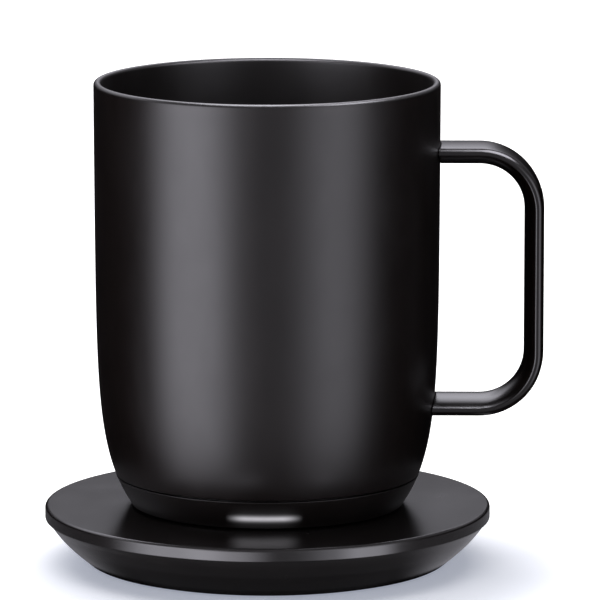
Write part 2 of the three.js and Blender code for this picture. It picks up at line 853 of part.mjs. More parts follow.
// Coaster: a thin edged top over a shallow bowl
function makeCoasterTop() {
  const innerBand = coasterRadius - edgeBandWall;
  const dimpleRadius = buttonRadius + dimpleMargin;
  const bandBottomHeight = coasterHeight - edgeBandHeight;
  const outline = [
    [0, plateUnderside],
    [innerBand, plateUnderside],
    [innerBand, bandBottomHeight],
    [coasterRadius, bandBottomHeight],
    ...arc(coasterRadius - edgeRound, coasterHeight - edgeRound, edgeRound, 0, 90),
    [bossTopRadius, coasterHeight],
    ...arc(bossTopRadius - bossTopRound, bossTop - bossTopRound, bossTopRound, 0, 90, bossRoundSteps),
    [dimpleRadius, bossTop],
    [dimpleRadius - dimpleDepth, bossTop - dimpleDepth],
    [0, bossTop - dimpleDepth],
  ];
  const posts = around(screwCount, screwTurn, (turn) => (
    rod(...at(coasterPostCircle, turn), coasterPostRadius, postTop + seatGap, plateUnderside + topPlate / 2)
  ));
  const screwTop = coasterScrewTop() + fitGap;
  const cuts = around(screwCount, screwTurn, (turn) => (
    rod(...at(coasterPostCircle, turn), coasterScrewShank + holeGap, postTop - cutOverrun, screwTop)
  ));
  for (const x of pinPlaces()) {
    cuts.push(rod(x, 0, barrelRadius + holeGap, plateUnderside - cutOverrun, barrelTop + seatGap));
    cuts.push(rod(x, 0, pinRadius + fitGap, plateUnderside, bossTop + cutOverrun));
  }
  return piece('coaster_top', carve(revolve(outline), posts, cuts), mouldedBlack);
}

function coasterScrewTop() {
  return postTop + coasterScrewBite;
}

// The inner contact's pin stands on -X and the outer contact's on +X
function pinPlaces() {
  return [-innerContactRadius, outerContactRadius];
}

// The bowl's side, nearly straight with a slight belly, between its foot and its rim
function bowlSide(inset, low, high) {
  const points = [];
  for (let i = 0; i <= bowlCurveSteps; i += 1) {
    const share = i / bowlCurveSteps;
    const z = low + (high - low) * share;
    const climb = (z - bowlBottom) / (bowlTop - bowlBottom);
    const straight = bowlFootRadius + (bowlRimRadius - bowlFootRadius) * climb;
    points.push([straight + bowlBulge * Math.sin(Math.PI * climb) - inset, z]);
  }
  return points;
}

function makeCoasterBase() {
  const outline = [
    [0, recessTop],
    [padRadius + fitGap, recessTop],
    [padRadius + fitGap, bowlBottom],
    ...bowlSide(0, bowlBottom, bowlTop),
    ...bowlSide(bowlWall, floorTop, bowlTop).reverse(),
    [0, floorTop],
  ];
  const sunk = floorTop - bowlFloor / 2;
  const posts = around(screwCount, screwTurn, (turn) => (
    rod(...at(coasterPostCircle, turn), coasterPostRadius, sunk, postTop)
  ));
  const pegs = around(pegCount, pegTurn, (turn) => (
    rod(...at(coasterPegCircle, turn), pegRadius, sunk, coasterBoardBottom - seatGap)
  ));
  const headTop = recessTop + seatGap + coasterScrewHeadHeight + holeGap;
  const cuts = around(screwCount, screwTurn, (turn) => (
    rod(...at(coasterPostCircle, turn), coasterScrewHead + holeGap, recessTop - cutOverrun, headTop)
  ));
  cuts.push(...around(screwCount, screwTurn, (turn) => (
    rod(...at(coasterPostCircle, turn), coasterScrewShank + holeGap, recessTop, postTop + cutOverrun)
  )));
  const glandHole = disc(glandRadius + holeGap, 0, coasterRadius, smallSteps);
  cuts.push(glandHole.rotateX(-Math.PI / 2).translate(0, 0, glandHeight));
  return piece('coaster_base', carve(revolve(outline), [...posts, ...pegs], cuts), mouldedBlack);
}

function makeCoasterPad() {
  return piece('coaster_pad', disc(padRadius, 0, recessTop - seatGap, bodySteps), rubberBlack);
}

function makeCoasterBoard() {
  const board = disc(coasterBoardRadius, coasterBoardBottom, coasterBoardTop);
  return piece('coaster_board', board, boardGreen);
}

// Bushing that the cable would come in through: a collar outside and a flange inside the wall
function makeCableGland() {
  const climb = (glandHeight - bowlBottom) / (bowlTop - bowlBottom);
  const wallRadius = bowlFootRadius + (bowlRimRadius - bowlFootRadius) * climb;
  const slope = (bowlRimRadius - bowlFootRadius) / (bowlTop - bowlBottom);
  const flangeFace = wallRadius - bowlWall - glandFlangeRadius * slope;
  const outline = [
    [glandBore, flangeFace - glandFlangeThickness],
    [glandFlangeRadius, flangeFace - glandFlangeThickness],
    [glandFlangeRadius, flangeFace],
    [glandRadius, flangeFace],
    [glandRadius, wallRadius + glandProud],
    [glandBore, wallRadius + glandProud],
  ];
  const body = revolve(outline, smallSteps).rotateX(-Math.PI / 2).translate(0, 0, glandHeight);
  return piece('cable_gland', body, rubberBlack);
}

function makeCoasterScrews() {
  const bottom = recessTop + seatGap;
  return around(screwCount, screwTurn, (turn, i) => {
    const [x, y] = at(coasterPostCircle, turn);
    const body = screwBody(
      coasterScrewHead,
      coasterScrewHeadHeight,
      coasterScrewShank,
      bottom,
      coasterScrewTop(),
    );
    return piece(`coaster_screw_${i + 1}`, body.translate(x, y, 0), steel);
  });
}

// Sprung pin: barrel on the board, plunger in the barrel, spring below the plunger
function makeBarrel(name, x) {
  const outline = [
    [0, barrelBottom],
    [barrelRadius, barrelBottom],
    [barrelRadius, barrelTop],
    [pinRadius + holeGap, barrelTop],
    [pinRadius + holeGap, barrelTop - barrelLip],
    [barrelBore, barrelTop - barrelLip],
    [barrelBore, barrelBottom + barrelFloor],
    [0, barrelBottom + barrelFloor],
  ];
  return piece(name, revolve(outline, smallSteps).translate(x, 0, 0), nickel);
}

function makePin(name, x) {
  const tip = bossTop + pinProud;
  const outline = [
    [0, pinShoulderBottom - pinSpigotLength],
    [pinSpigotRadius, pinShoulderBottom - pinSpigotLength],
    [pinSpigotRadius, pinShoulderBottom],
    [pinShoulderRadius, pinShoulderBottom],
    [pinShoulderRadius, pinShoulderTop],
    [pinRadius, pinShoulderTop],
    ...arc(0, tip - pinRadius, pinRadius, 0, 90, pinTipSteps),
  ];
  return piece(name, revolve(outline, smallSteps).translate(x, 0, 0), gold);
}

// One unbroken tube along points, with flat ends square to its first and last stretch
function tube(points, radius, sides) {
  const rings = [];
  let across = null;
  points.forEach((point, i) => {
    const before = points[Math.max(i - 1, 0)];
    const after = points[Math.min(i + 1, points.length - 1)];
    const ahead = after.clone().sub(point).normalize();
    const behind = point.clone().sub(before).normalize();
    const along = ahead.add(behind).normalize();
    if (across === null) across = new THREE.Vector3(1, 0, 0);
    across.addScaledVector(along, -across.dot(along)).normalize();
    const other = along.clone().cross(across);
    for (let k = 0; k < sides; k += 1) {
      const turn = 2 * Math.PI * k / sides;
      const corner = point.clone().addScaledVector(across, radius * Math.cos(turn));
      rings.push(...corner.addScaledVector(other, radius * Math.sin(turn)).toArray());
    }
  });
  const faces = [];
  for (let i = 0; i + 1 < points.length; i += 1) {
    for (let k = 0; k < sides; k += 1) {
      const a = i * sides + k;
      const b = i * sides + (k + 1) % sides;
      faces.push(a, b, a + sides, b, b + sides, a + sides);
    }
  }
  const last = (points.length - 1) * sides;
  for (let k = 1; k + 1 < sides; k += 1) {
    faces.push(0, k + 1, k);
    faces.push(last, last + k, last + k + 1);
  }
  const geometry = new THREE.BufferGeometry();
  geometry.setAttribute('position', new THREE.Float32BufferAttribute(rings, 3));
  geometry.setIndex(faces);
  return geometry;
}

// Centre line of a spring: a straight end, the turns, and a straight end
function springLine() {
  const low = springBottom + springWire;
  const high = springTop - springWire;
  const radius = (barrelBore + pinSpigotRadius) / 2;
  const steps = springTurns * springStepsPerTurn;
  const points = [new THREE.Vector3(radius, 0, springBottom)];
  for (let i = 0; i <= steps; i += 1) {
    const turn = 2 * Math.PI * i / springStepsPerTurn;
    points.push(new THREE.Vector3(
      radius * Math.cos(turn),
      radius * Math.sin(turn),
      low + (high - low) * i / steps,
    ));
  }
  points.push(new THREE.Vector3(radius, 0, springTop));
  return points;
}

// Least clear distance between points of a tube that lie half a turn or more apart
function leastGap(points, radius) {
  let least = Infinity;
  for (let i = 0; i < points.length; i += 1) {
    for (let j = i + springStepsPerTurn / 2; j < points.length; j += 1) {
      least = Math.min(least, points[i].distanceTo(points[j]) - 2 * radius);
    }
  }
  return least;
}

function makeSpring(name, x) {
  const body = tube(springLine(), springWire / 2, springSides).translate(x, 0, 0);
  return piece(name, body, steel);
}

const springGap = leastGap(springLine(), springWire / 2);
console.log(`Least gap between a pin spring's turns: ${springGap.toFixed(3)} mm`);

const [innerPinX, outerPinX] = pinPlaces();

const mug = new THREE.Group();
mug.position.z = coasterHeight;
mug.add(
  makeOuterShell(),
  makeInnerCup(),
  makeHandle(),
  makeBaseRing(),
  makeLightWindow(),
  makeLightBoard(),
  makeBaseCover(),
  makeContactRing('contact_ring_inner', innerContactRadius),
  makeContactRing('contact_ring_outer', outerContactRadius),
  makeBaseSeal(),
  makeFootRing(),
  makePowerButton(),
  makeSwitch(),
  makeControlBoard(),
  makeRadioModule(),
  makeChassis(),
  makeCell('battery_cell_front', -1),
  makeCell('battery_cell_rear', 1),
  makeTab('battery_tab_left', -1),
  makeTab('battery_tab_right', 1),
  makeInsulation(),
  makeHeaterFilm(),
  makeSpreader(),
  makeThermistor(),
  makeHeaterLead('heater_lead_left', -1, wireRed),
  makeHeaterLead('heater_lead_right', 1, rubberBlack),
  ...makeCoverScrews(),
);

const coaster = new THREE.Group();
coaster.add(
  makeCoasterTop(),
  makeCoasterBase(),
  makeCoasterPad(),
  makeCoasterBoard(),
  makeCableGland(),
  ...makeCoasterScrews(),
  makeBarrel('pin_barrel_inner', innerPinX),
  makeBarrel('pin_barrel_outer', outerPinX),
  makePin('contact_pin_inner', innerPinX),
  makePin('contact_pin_outer', outerPinX),
  makeSpring('pin_spring_inner', innerPinX),
  makeSpring('pin_spring_outer', outerPinX),
);

const assembly = new THREE.Group();
assembly.add(mug, coaster);

export default assembly;
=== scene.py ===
import json
import math

import bmesh
import bpy
from mathutils import Matrix, Vector


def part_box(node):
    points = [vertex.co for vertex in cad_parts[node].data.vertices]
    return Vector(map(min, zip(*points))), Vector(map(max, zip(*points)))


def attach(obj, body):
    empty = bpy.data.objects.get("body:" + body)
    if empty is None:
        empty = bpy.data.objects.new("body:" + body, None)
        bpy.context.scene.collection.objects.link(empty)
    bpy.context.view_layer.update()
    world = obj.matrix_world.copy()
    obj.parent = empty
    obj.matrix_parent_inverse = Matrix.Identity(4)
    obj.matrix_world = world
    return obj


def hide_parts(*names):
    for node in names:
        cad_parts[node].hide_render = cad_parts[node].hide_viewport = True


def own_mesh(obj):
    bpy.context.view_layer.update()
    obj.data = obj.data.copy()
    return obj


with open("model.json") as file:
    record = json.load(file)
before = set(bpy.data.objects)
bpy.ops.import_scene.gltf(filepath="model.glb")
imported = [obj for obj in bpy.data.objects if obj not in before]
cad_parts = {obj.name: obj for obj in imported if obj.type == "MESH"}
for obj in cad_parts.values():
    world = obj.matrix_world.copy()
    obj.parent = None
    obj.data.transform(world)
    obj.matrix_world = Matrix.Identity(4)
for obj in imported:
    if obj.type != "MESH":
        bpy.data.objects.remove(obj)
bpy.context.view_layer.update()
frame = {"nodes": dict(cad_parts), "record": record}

# Sizes are in millimetres, in the frame's axes, and angles in degrees. A mesh becomes metres as it is made.
MM = 0.001
SHARP_ANGLE = math.radians(32)

# Steps round a lathed piece
ROUND = 256
COVER_ROUND = 192
CONTACT_ROUND = 160
CARD_ROUND = 144
SLOT_ROUND = 128
SMALL_ROUND = 96
TUBE_ROUND = 64
PIN_ROUND = 48

# Mug: its heights count from the coaster's top plate
MUG_BASE = 15.0
MUG_HEIGHT = 111.4
RIM_RADIUS = 45.0
BODY_LEAN = 0.4
TUCK_DEPTH = 9.5
TUCK_LENGTH = 13.0
SHELL_WALL = 0.7
SHELL_EDGE = 0.18
LIP_WIDTH = 2.0
LIP_BOTTOM = 110.0
SEAM_HEIGHT = 8.1
SEAM_GAP = 0.35
CUP_FLOOR = 25.9
CUP_FOOT_RADIUS = 41.2
CUP_FILLET = 10.0
CUP_FLAT_MARGIN = 0.5

# Band below the seam, with the spigot that carries the wall and the ledge that carries the base's parts
BAND_BOTTOM = 0.5
BAND_BORE = 33.74
BAND_BORE_TOP = 2.3
BAND_FOOT = 0.4
BAND_CROWN = 0.22
SPIGOT_OUTER = 38.0
SPIGOT_INNER = 36.9
SPIGOT_HEIGHT = 3.8
LEDGE_TOP = 6.8
LEDGE_THICKNESS = 1.2
LEDGE_INNER = 32.0
HOLLOW_TOP_RADIUS = 36.6
HOLLOW_FOOT_RADIUS = 35.0

# Window of the light, and its glow: full up to the first of GLOW_ENDS from the middle, gone at the second
LIGHT_LENGTH = 19.4
LIGHT_HEIGHT = 2.1
LIGHT_CENTRE = 3.7
LIGHT_DEPTH = 1.5
LIGHT_GAP = 0.03
LIGHT_CUT = (-50.0, -30.0)
MERGE_DISTANCE = 0.0005
SLIVER_DISTANCE = 0.0004
GLOW_CENTRE = 3.37
GLOW_SPREAD = 0.525
GLOW_SKIRT = 3
GLOW_SKIRT_SHARE = 0.045
GLOW_ENDS = (4.6, 10.2)
GLOW_COLOUR = (0.45, 0.44, 0.47, 1.0)

# Handle
HANDLE_REACH = 71.95
HANDLE_TOP = 95.2
HANDLE_BOTTOM = 24.25
HANDLE_BEND = 16.8
HANDLE_HALF = 8.0
HANDLE_SHOULDER = 1.25
SHOULDER_SHARPNESS = 1.25
HANDLE_CROWN = 1.55
HANDLE_CAMBER = 0.3
HANDLE_EDGE = 0.35
HANDLE_ROLL = 1.8
HANDLE_SIDE = 0.9
HANDLE_BELLY = 2.75
HANDLE_WELD = 0.4
WELD_SPREAD_SHARE = 0.8
BELLY_STEPS = 28
ROLL_STEPS = 5
SHOULDER_STEPS = 12
CROWN_STEPS = 8
BEND_STEPS = 28
GRIP_STEPS = 12
# Distances from the wall of the rings along an arm
ARM_PLACES = (-0.25, 0.0, 0.04, 0.1, 0.18, 0.28, HANDLE_WELD, 0.8, 1.6, 3.0, 5.0, 7.5, 10.0)

# Underside of the mug
COVER_RADIUS = 33.44
COVER_TOP = 3.8
COVER_EDGE = 0.3
FOOT_INNER = 26.14
FOOT_OUTER = 30.74
FOOT_TOP = 0.95
FOOT_EDGE = 0.35
POCKET_RADIUS = 24.5
POCKET_TOP = 2.3
BUTTON_RADIUS = 6.4925
BUTTON_FACE = 1.8
BUTTON_EDGE = 0.3
# Dish in the button's face: (radius, depth)
BUTTON_DISH = ((0.0, 0.3), (2.3, 0.27), (4.6, 0.12), (5.1, 0.0))
BUTTON_FLANGE = 1.5
BUTTON_FLANGE_HEIGHTS = (3.85, 4.85)
BUTTON_GAP = 0.3
CONTACT_RADII = (12.495, 18.4975)
CONTACT_HALF = 1.5
CONTACT_BOTTOM = 2.2
CONTACT_THICKNESS = 0.6
CONTACT_EDGE = 0.12
SLOT_GAP = 0.15
# Heights of the solids that cut the cover, from the floor
SLOT_BOTTOM = 10.0
BUTTON_HOLE_TOP = 25.0
CONTACT_SLOT_TOP = 17.95
FOOT_SLOT_TOP = 16.0

# Coaster
COASTER_HEIGHT = 15.0
COASTER_RADIUS = 58.2
PLATE_BOTTOM = 13.2
EDGE_BAND = 3.4
EDGE_WALL = 1.6
EDGE_ROUND = 0.85
EDGE_FOOT = 0.2
BOSS_RADIUS = 24.0
BOSS_HEIGHT = 1.5
BOSS_ROUND = 0.5
BOSS_FOOT = 0.3
DIMPLE_RADIUS = 9.0
DIMPLE_DEPTH = 0.6
DIMPLE_LIP = 0.25
DIMPLE_FOOT = (0.3, 0.06)
PIN_HOLE_GAP = 0.3
PIN_HOLE_FLARE = 0.45
PIN_HOLE_HEIGHTS = (10.0, 16.35, 16.55, 20.0)
BOWL_RIM = 57.7
BOWL_FOOT = 47.0
BOWL_TOP = 11.55
BOWL_BOTTOM = 0.5
BOWL_BULGE = 0.95
BOWL_WALL = 2.2
BOWL_FLOOR = (0.8, 2.6)
BOWL_STEPS = 40
PAD_RADIUS = 45.2
PAD_EDGE = 0.35
PAD_TOP = 0.75
PAD_GAP = 0.3
PAD_SLOT_TOP = 0.65
PAD_SLOT_ROUND = 0.15
GLAND_HEIGHT = 7.5
GLAND_HOLE = (3.6, 30.0, 70.0)
# The gland's radii: bore, neck and flange, and its flange's thickness
GLAND_RADII = (2.1, 3.4, 4.6)
GLAND_FLANGE = 1.2
GLAND_ROUNDS = (0.3, 0.4)

# Charging pins, each in its barrel above a spring
PIN_PLACES = ((-12.495, "inner"), (18.4975, "outer"))
PIN_RADIUS = 1.1
PIN_TIP = 17.18
PIN_FOOT = (0.6, 0.7)
PIN_COLLAR = (1.4, 1.5)
BARREL_RADIUS = 2.05
BARREL_BORE = 1.6
BARREL_FLOOR = 0.6
# Barrel's top, from outside to inside: (radius, depth below the top)
BARREL_TOP = ((2.05, 0.15), (1.9, 0.0), (1.35, 0.0), (1.3, 0.1), (1.3, 0.5), (1.6, 0.5))
SPRING_WIRE = 0.35
SPRING_TURNS = 5
SPRING_STEPS = 32
SPRING_SIDES = 10
SPRING_CLOSED_TURNS = 0.5

# Light of the room and of the floor round the object: FLOOR_LIFT up to FLOOR_NEAR, white from FLOOR_FAR on.
# The floor's lower light near FLOOR_CENTRE is painted shade round the object, added to the lamp's real
# shadow, and its bluish colour there is a painted shadow colour.
WORLD_LIGHT = 0.3
FLOOR_LIFT = 0.32
FLOOR_NEAR = 50.0
FLOOR_FAR = 98.0
FLOOR_CENTRE = (8.0, -13.0)
FLOOR_COLOUR = (0.838, 0.835, 0.817, 1.0)
FLOOR_ROUGHNESS = 0.9
# Bluish colour of the painted shade on the floor near the object
FLOOR_SHADOW_TINT = (0.845, 0.95, 1.25, 1.0)
FLOOR_RINGS = (0.0, 200.0, 2000.0, 12000.0)
WHITE = (1.0, 1.0, 1.0, 1.0)

# Dark wall and ceiling that only reflections show. Azimuths count from the camera's side towards +X.
CARD_TINT = (1.0, 0.985, 1.08, 1.0)
WALL_RADIUS = 880.0
WALL_BOTTOM = -880.0
WALL_TOP = 900.0
WALL_GLOW = 0.003
PIT_GLOW = 0.03
# Soft panels on the wall: (azimuth, half width where it is full, half width where it ends, brightness)
PANELS = ((-49.0, 8.0, 36.0, 4.75), (47.0, 6.0, 32.0, 2.4))
PANEL_FOOT = (-760.0, -100.0)
PANEL_HEAD = (220.0, 560.0)
FRONT_HALF = (16.0, 60.0)
FRONT_GLOW = 0.46
# Light above the wall's top edge: (height where it starts, height where it is full, brightness)
SKY = (200.0, 500.0, 0.35)
# Window and backdrop behind the object: half widths, heights between which each rises, and brightness
BACK_HALF = (7.0, 11.0)
BACK_HEIGHTS = (90.0, 240.0)
BACK_GLOW = 0.29
BACKDROP_HALF = (8.0, 16.0)
BACKDROP_HEIGHTS = (260.0, 420.0)
BACKDROP_GLOW = 0.6
# High light behind the object on both sides
RISE_LEFT = (-120.0, -60.0)
RISE_RIGHT = (138.0, 170.0)
RISE_HEIGHTS = (300.0, 900.0)
RISE_GLOW = 2.2
CEILING_CENTRE = (-100.0, 880.0)
CEILING_GLOW = ((370.0, 4.2), (600.0, 0.4))
# Rings of light on the floor at the bowl's foot: (inner radius, outer radius, brightness)
FLOOR_GLINTS = ((48, 53, 0.03), (53, 58, 0.07), (58, 66, 0.14))
GLINT_HEIGHT = 0.2
# Their further light at the sides, given as the panels are
SIDE_GLINTS = ((86.0, 16.0, 42.0, 0.34), (-88.0, 12.0, 44.0, 0.22))
# Card close round the coaster's edge band, as (radius, low, high), and its lights, as the panels are given
EDGE_CARD = (61.0, 8.0, 14.0)
EDGE_LIGHTS = (
    (-9.5, 2.0, 14.0, 2.7), (29.0, 2.5, 10.5, 1.9), (80.0, 30.0, 50.0, 0.2), (-85.0, 30.0, 60.0, 0.12),
)
# Soft discs close above the mug, which light its lip and the handle's edges: (x, y, radius, brightness)
TOP_CARD_HEIGHT = 230.0
TOP_CARDS = ((-6.0, -15.0, 48.0, 11.0), (108.0, -52.0, 57.0, 12.0))
TOP_CARD_REACH = (200.0, 213.0)

# Lamp above and behind the object
LAMP_AIM = (0.0, 0.0, 60.0)
LAMP_AZIMUTH = -171.0
LAMP_ELEVATION = 72.0
LAMP_DISTANCE = 900.0
LAMP_SIZE = 1200.0
LAMP_WATTS = 8.4
LAMP_COLOUR = (1.0, 0.985, 1.04)

# Camera
SENSOR_WIDTH = 36.0
LENS = 373.2
CLIP = (0.05, 60.0)
CAMERA_SIDE = 8.51
CAMERA_BACK = 1595.0
CAMERA_HIGH = 349.7
CAMERA_YAW = 1.0
CAMERA_DIP = 9.99


def mug_radius(z):
    return RIM_RADIUS - BODY_LEAN * (1 - z / MUG_HEIGHT) - TUCK_DEPTH * math.exp(-z / TUCK_LENGTH)


# Mesh helpers


def to_mesh(name, bm):
    mesh = bpy.data.meshes.new(name)
    bm.to_mesh(mesh)
    bm.free()
    return mesh


def link_object(name, data):
    thing = bpy.data.objects.new(name, data)
    bpy.context.scene.collection.objects.link(thing)
    return thing


def smooth(mesh):
    mesh.polygons.foreach_set("use_smooth", [True] * len(mesh.polygons))
    mesh.set_sharp_from_angle(angle=SHARP_ANGLE)


def finish_mesh(name, bm, body, nodes, material):
    """Turns a bmesh in millimetres into a piece that rides on a body and stands for CAD nodes."""
    bmesh.ops.scale(bm, vec=(MM, MM, MM), verts=bm.verts)
    bmesh.ops.recalc_face_normals(bm, faces=bm.faces)
    mesh = to_mesh(name, bm)
    smooth(mesh)
    piece = link_object(name, mesh)
    mesh.materials.append(material)
    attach(piece, body)
    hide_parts(*nodes)
    return piece


def lathe_mesh(outline, steps=ROUND, centre=(0.0, 0.0), closed=True):
    """Turns an outline of (radius, height) points about a vertical line."""
    bm = bmesh.new()
    rings = []
    for radius, z in outline:
        if radius < 1e-6:
            rings.append([bm.verts.new((centre[0], centre[1], z))])
            continue
        ring = []
        for i in range(steps):
            turn = 2 * math.pi * i / steps
            x, y = centre[0] + radius * math.cos(turn), centre[1] + radius * math.sin(turn)
            ring.append(bm.verts.new((x, y, z)))
        rings.append(ring)
    pairs = list(zip(rings, rings[1:]))
    if closed and (len(rings[0]) > 1 or len(rings[-1]) > 1):
        pairs.append((rings[-1], rings[0]))
    for low, high in pairs:
        for i in range(steps):
            j = (i + 1) % steps
            corners = []
            for vert in (low[i % len(low)], low[j % len(low)], high[j % len(high)], high[i % len(high)]):
                if vert not in corners:
                    corners.append(vert)
            if len(corners) > 2:
                bm.faces.new(corners)
    return bm


def skin_rings(bm, rings):
    """Joins rings of points into a closed tube with flat ends."""
    made = [[bm.verts.new(point) for point in ring] for ring in rings]
    count = len(made[0])
    for low, high in zip(made, made[1:]):
        for i in range(count):
            j = (i + 1) % count
            bm.faces.new((low[i], low[j], high[j], high[i]))
    bm.faces.new(made[0][::-1])
    bm.faces.new(made[-1])


def arc(centre_r, centre_z, radius, start, end, steps=6):
    points = []
    for i in range(steps + 1):
        turn = math.radians(start + (end - start) * i / steps)
        points.append((centre_r + radius * math.cos(turn), centre_z + radius * math.sin(turn)))
    return points


def line(start, end, steps):
    return [
        (start[0] + (end[0] - start[0]) * i / steps, start[1] + (end[1] - start[1]) * i / steps)
        for i in range(steps + 1)
    ]


def mug_curve(low, high, steps, inset=0.0):
    """Outside of the mug between two heights, with closer points where it bends more."""
    crowding = 1.6
    points = []
    for i in range(steps + 1):
        z = low + (high - low) * (i / steps) ** crowding
        points.append((mug_radius(z) - inset, z))
    return points


def lift(outline):
    """From heights above the coaster's top plate to heights above the floor."""
    return [(r, z + MUG_BASE) for r, z in outline]


def rotation_to_y():
    """Turns +Z to +Y."""
    return Matrix.Rotation(-math.pi / 2, 3, "X")


def lay_along_y(bm):
    """Lays a lathed shape along Y at the height of the cable gland."""
    bmesh.ops.rotate(bm, verts=bm.verts, matrix=rotation_to_y())
    bmesh.ops.translate(bm, verts=bm.verts, vec=(0, 0, GLAND_HEIGHT))


def cut(piece, cutters):
    """Cuts solids out of a piece, applies the cuts, and deletes the solids."""
    for cutter in cutters:
        modifier = piece.modifiers.new("cut", "BOOLEAN")
        modifier.operation = "DIFFERENCE"
        modifier.solver = "EXACT"
        modifier.object = cutter
    bpy.context.view_layer.update()
    depsgraph = bpy.context.evaluated_depsgraph_get()
    mesh = bpy.data.meshes.new_from_object(piece.evaluated_get(depsgraph))
    piece.modifiers.clear()
    old = piece.data
    piece.data = mesh
    mesh.name = old.name
    bpy.data.meshes.remove(old)
    for cutter in cutters:
        bpy.data.meshes.remove(cutter.data)
    smooth(mesh)


def cutter_from(bm):
    bmesh.ops.scale(bm, vec=(MM, MM, MM), verts=bm.verts)
    bmesh.ops.recalc_face_normals(bm, faces=bm.faces)
    return link_object("cutter", to_mesh("cutter", bm))


def ring_cutter(inner, outer, top, steps):
    """Solid ring, or disc where inner is 0, up from below the mug's underside."""
    outline = [(inner, SLOT_BOTTOM), (outer, SLOT_BOTTOM), (outer, top), (inner, top)]
    return cutter_from(lathe_mesh(outline, steps))


# Materials


class Nodes:
    """Short calls for building one material's node tree."""

    def __init__(self, name):
        self.material = bpy.data.materials.new(name)
        self.material.use_nodes = True
        self.tree = self.material.node_tree
        self.shader = self.tree.nodes["Principled BSDF"]
        self.place = self.tree.nodes.new("ShaderNodeTexCoord").outputs["Object"]

    def add(self, kind, inputs=None, **settings):
        node = self.tree.nodes.new(kind)
        for key, value in settings.items():
            setattr(node, key, value)
        for key, value in (inputs or {}).items():
            if isinstance(value, bpy.types.NodeSocket):
                self.tree.links.new(value, node.inputs[key])
            else:
                node.inputs[key].default_value = value
        return node

    def link(self, output, socket):
        self.tree.links.new(output, self.shader.inputs[socket])

    def set(self, **values):
        for key, value in values.items():
            self.shader.inputs[key.replace("_", " ")].default_value = value

    def noise(self, scale, detail=3.0, roughness=0.5, stretch=None):
        place = self.place
        if stretch:
            place = self.add("ShaderNodeMapping", {"Vector": place, "Scale": stretch}).outputs[0]
        return self.add(
            "ShaderNodeTexNoise", {"Vector": place, "Scale": scale, "Detail": detail, "Roughness": roughness}
        ).outputs["Fac"]

    def cells(self, scale):
        return self.add("ShaderNodeTexVoronoi", {"Vector": self.place, "Scale": scale}).outputs["Distance"]

    def ramp(self, value, low, high, out_low=0.0, out_high=1.0, **settings):
        return self.add(
            "ShaderNodeMapRange",
            {"Value": value, "From Min": low, "From Max": high, "To Min": out_low, "To Max": out_high},
            **settings,
        ).outputs[0]

    def math(self, operation, a, b=None):
        inputs = {0: a}
        if b is not None:
            inputs[1] = b
        return self.add("ShaderNodeMath", inputs, operation=operation).outputs[0]

    def mix(self, factor, a, b):
        return self.add("ShaderNodeMix", {0: factor, 6: a, 7: b}, data_type="RGBA").outputs[2]

    def bump(self, height, strength, distance):
        inputs = {"Height": height, "Strength": strength, "Distance": distance}
        return self.add("ShaderNodeBump", inputs).outputs[0]


def rgb(red, green, blue):
    return (red, green, blue, 1.0)


def coated_nodes(name, dark, light, roughness, grain_size, grain_depth, wear=0.4, specular=0.5):
    """Satin coating or moulded plastic: fine grain, faint cloudiness, handling marks and rubbed edges."""
    n = Nodes(name)
    cloud = n.noise(scale=35.0, detail=4.0, roughness=0.6)
    fine = n.noise(scale=1.0 / (grain_size * MM), detail=2.0, roughness=0.5)
    hand = n.ramp(n.noise(scale=70.0, detail=6.0, roughness=0.65, stretch=(1.0, 1.0, 0.45)), 0.42, 0.72)
    edge = n.ramp(n.add("ShaderNodeNewGeometry").outputs["Pointiness"], 0.535, 0.62)
    patches = n.ramp(n.noise(scale=400.0, detail=3.0, roughness=0.6), 0.4, 0.7, 0.15, wear)
    rubbed = n.math("MULTIPLY", edge, patches)
    tone = n.mix(cloud, rgb(*dark), rgb(*light))
    worn = tuple(min(1.0, 2.6 * c + 0.01) for c in light)
    n.link(n.mix(rubbed, tone, rgb(*worn)), "Base Color")
    rough = n.ramp(cloud, 0.3, 0.7, roughness - 0.015, roughness + 0.015)
    rough = n.math("ADD", rough, n.math("MULTIPLY", hand, 0.05))
    rough = n.math("SUBTRACT", rough, n.math("MULTIPLY", rubbed, 0.08))
    n.link(rough, "Roughness")
    n.link(n.bump(fine, strength=0.35, distance=grain_depth * MM), "Normal")
    n.set(Specular_IOR_Level=specular)
    return n


def coated(name, *values, **settings):
    return coated_nodes(name, *values, **settings).material


def metal(name, colour, shade, roughness, streak=(1.0, 1.0, 1.0)):
    n = Nodes(name)
    brush = n.noise(scale=900.0, detail=3.0, roughness=0.6, stretch=streak)
    stain = n.ramp(n.noise(scale=120.0, detail=5.0, roughness=0.6), 0.45, 0.75)
    tone = n.mix(n.ramp(brush, 0.3, 0.7, 0.0, 0.5), rgb(*colour), rgb(*shade))
    n.link(n.mix(n.math("MULTIPLY", stain, 0.35), tone, rgb(*shade)), "Base Color")
    n.link(n.ramp(brush, 0.25, 0.75, roughness - 0.06, roughness + 0.08), "Roughness")
    n.link(n.bump(brush, strength=0.25, distance=0.02 * MM), "Normal")
    n.set(Metallic=1.0)
    return n.material


def rubber(name, dark, light):
    n = Nodes(name)
    fine = n.noise(scale=2600.0, detail=2.0, roughness=0.6)
    dust = n.ramp(n.noise(scale=160.0, detail=6.0, roughness=0.7), 0.5, 0.8)
    n.link(n.mix(n.math("MULTIPLY", dust, 0.4), rgb(*dark), rgb(*light)), "Base Color")
    n.link(n.ramp(dust, 0.0, 1.0, 0.62, 0.8), "Roughness")
    n.link(n.bump(fine, strength=0.5, distance=0.03 * MM), "Normal")
    n.set(Specular_IOR_Level=0.35)
    return n.material


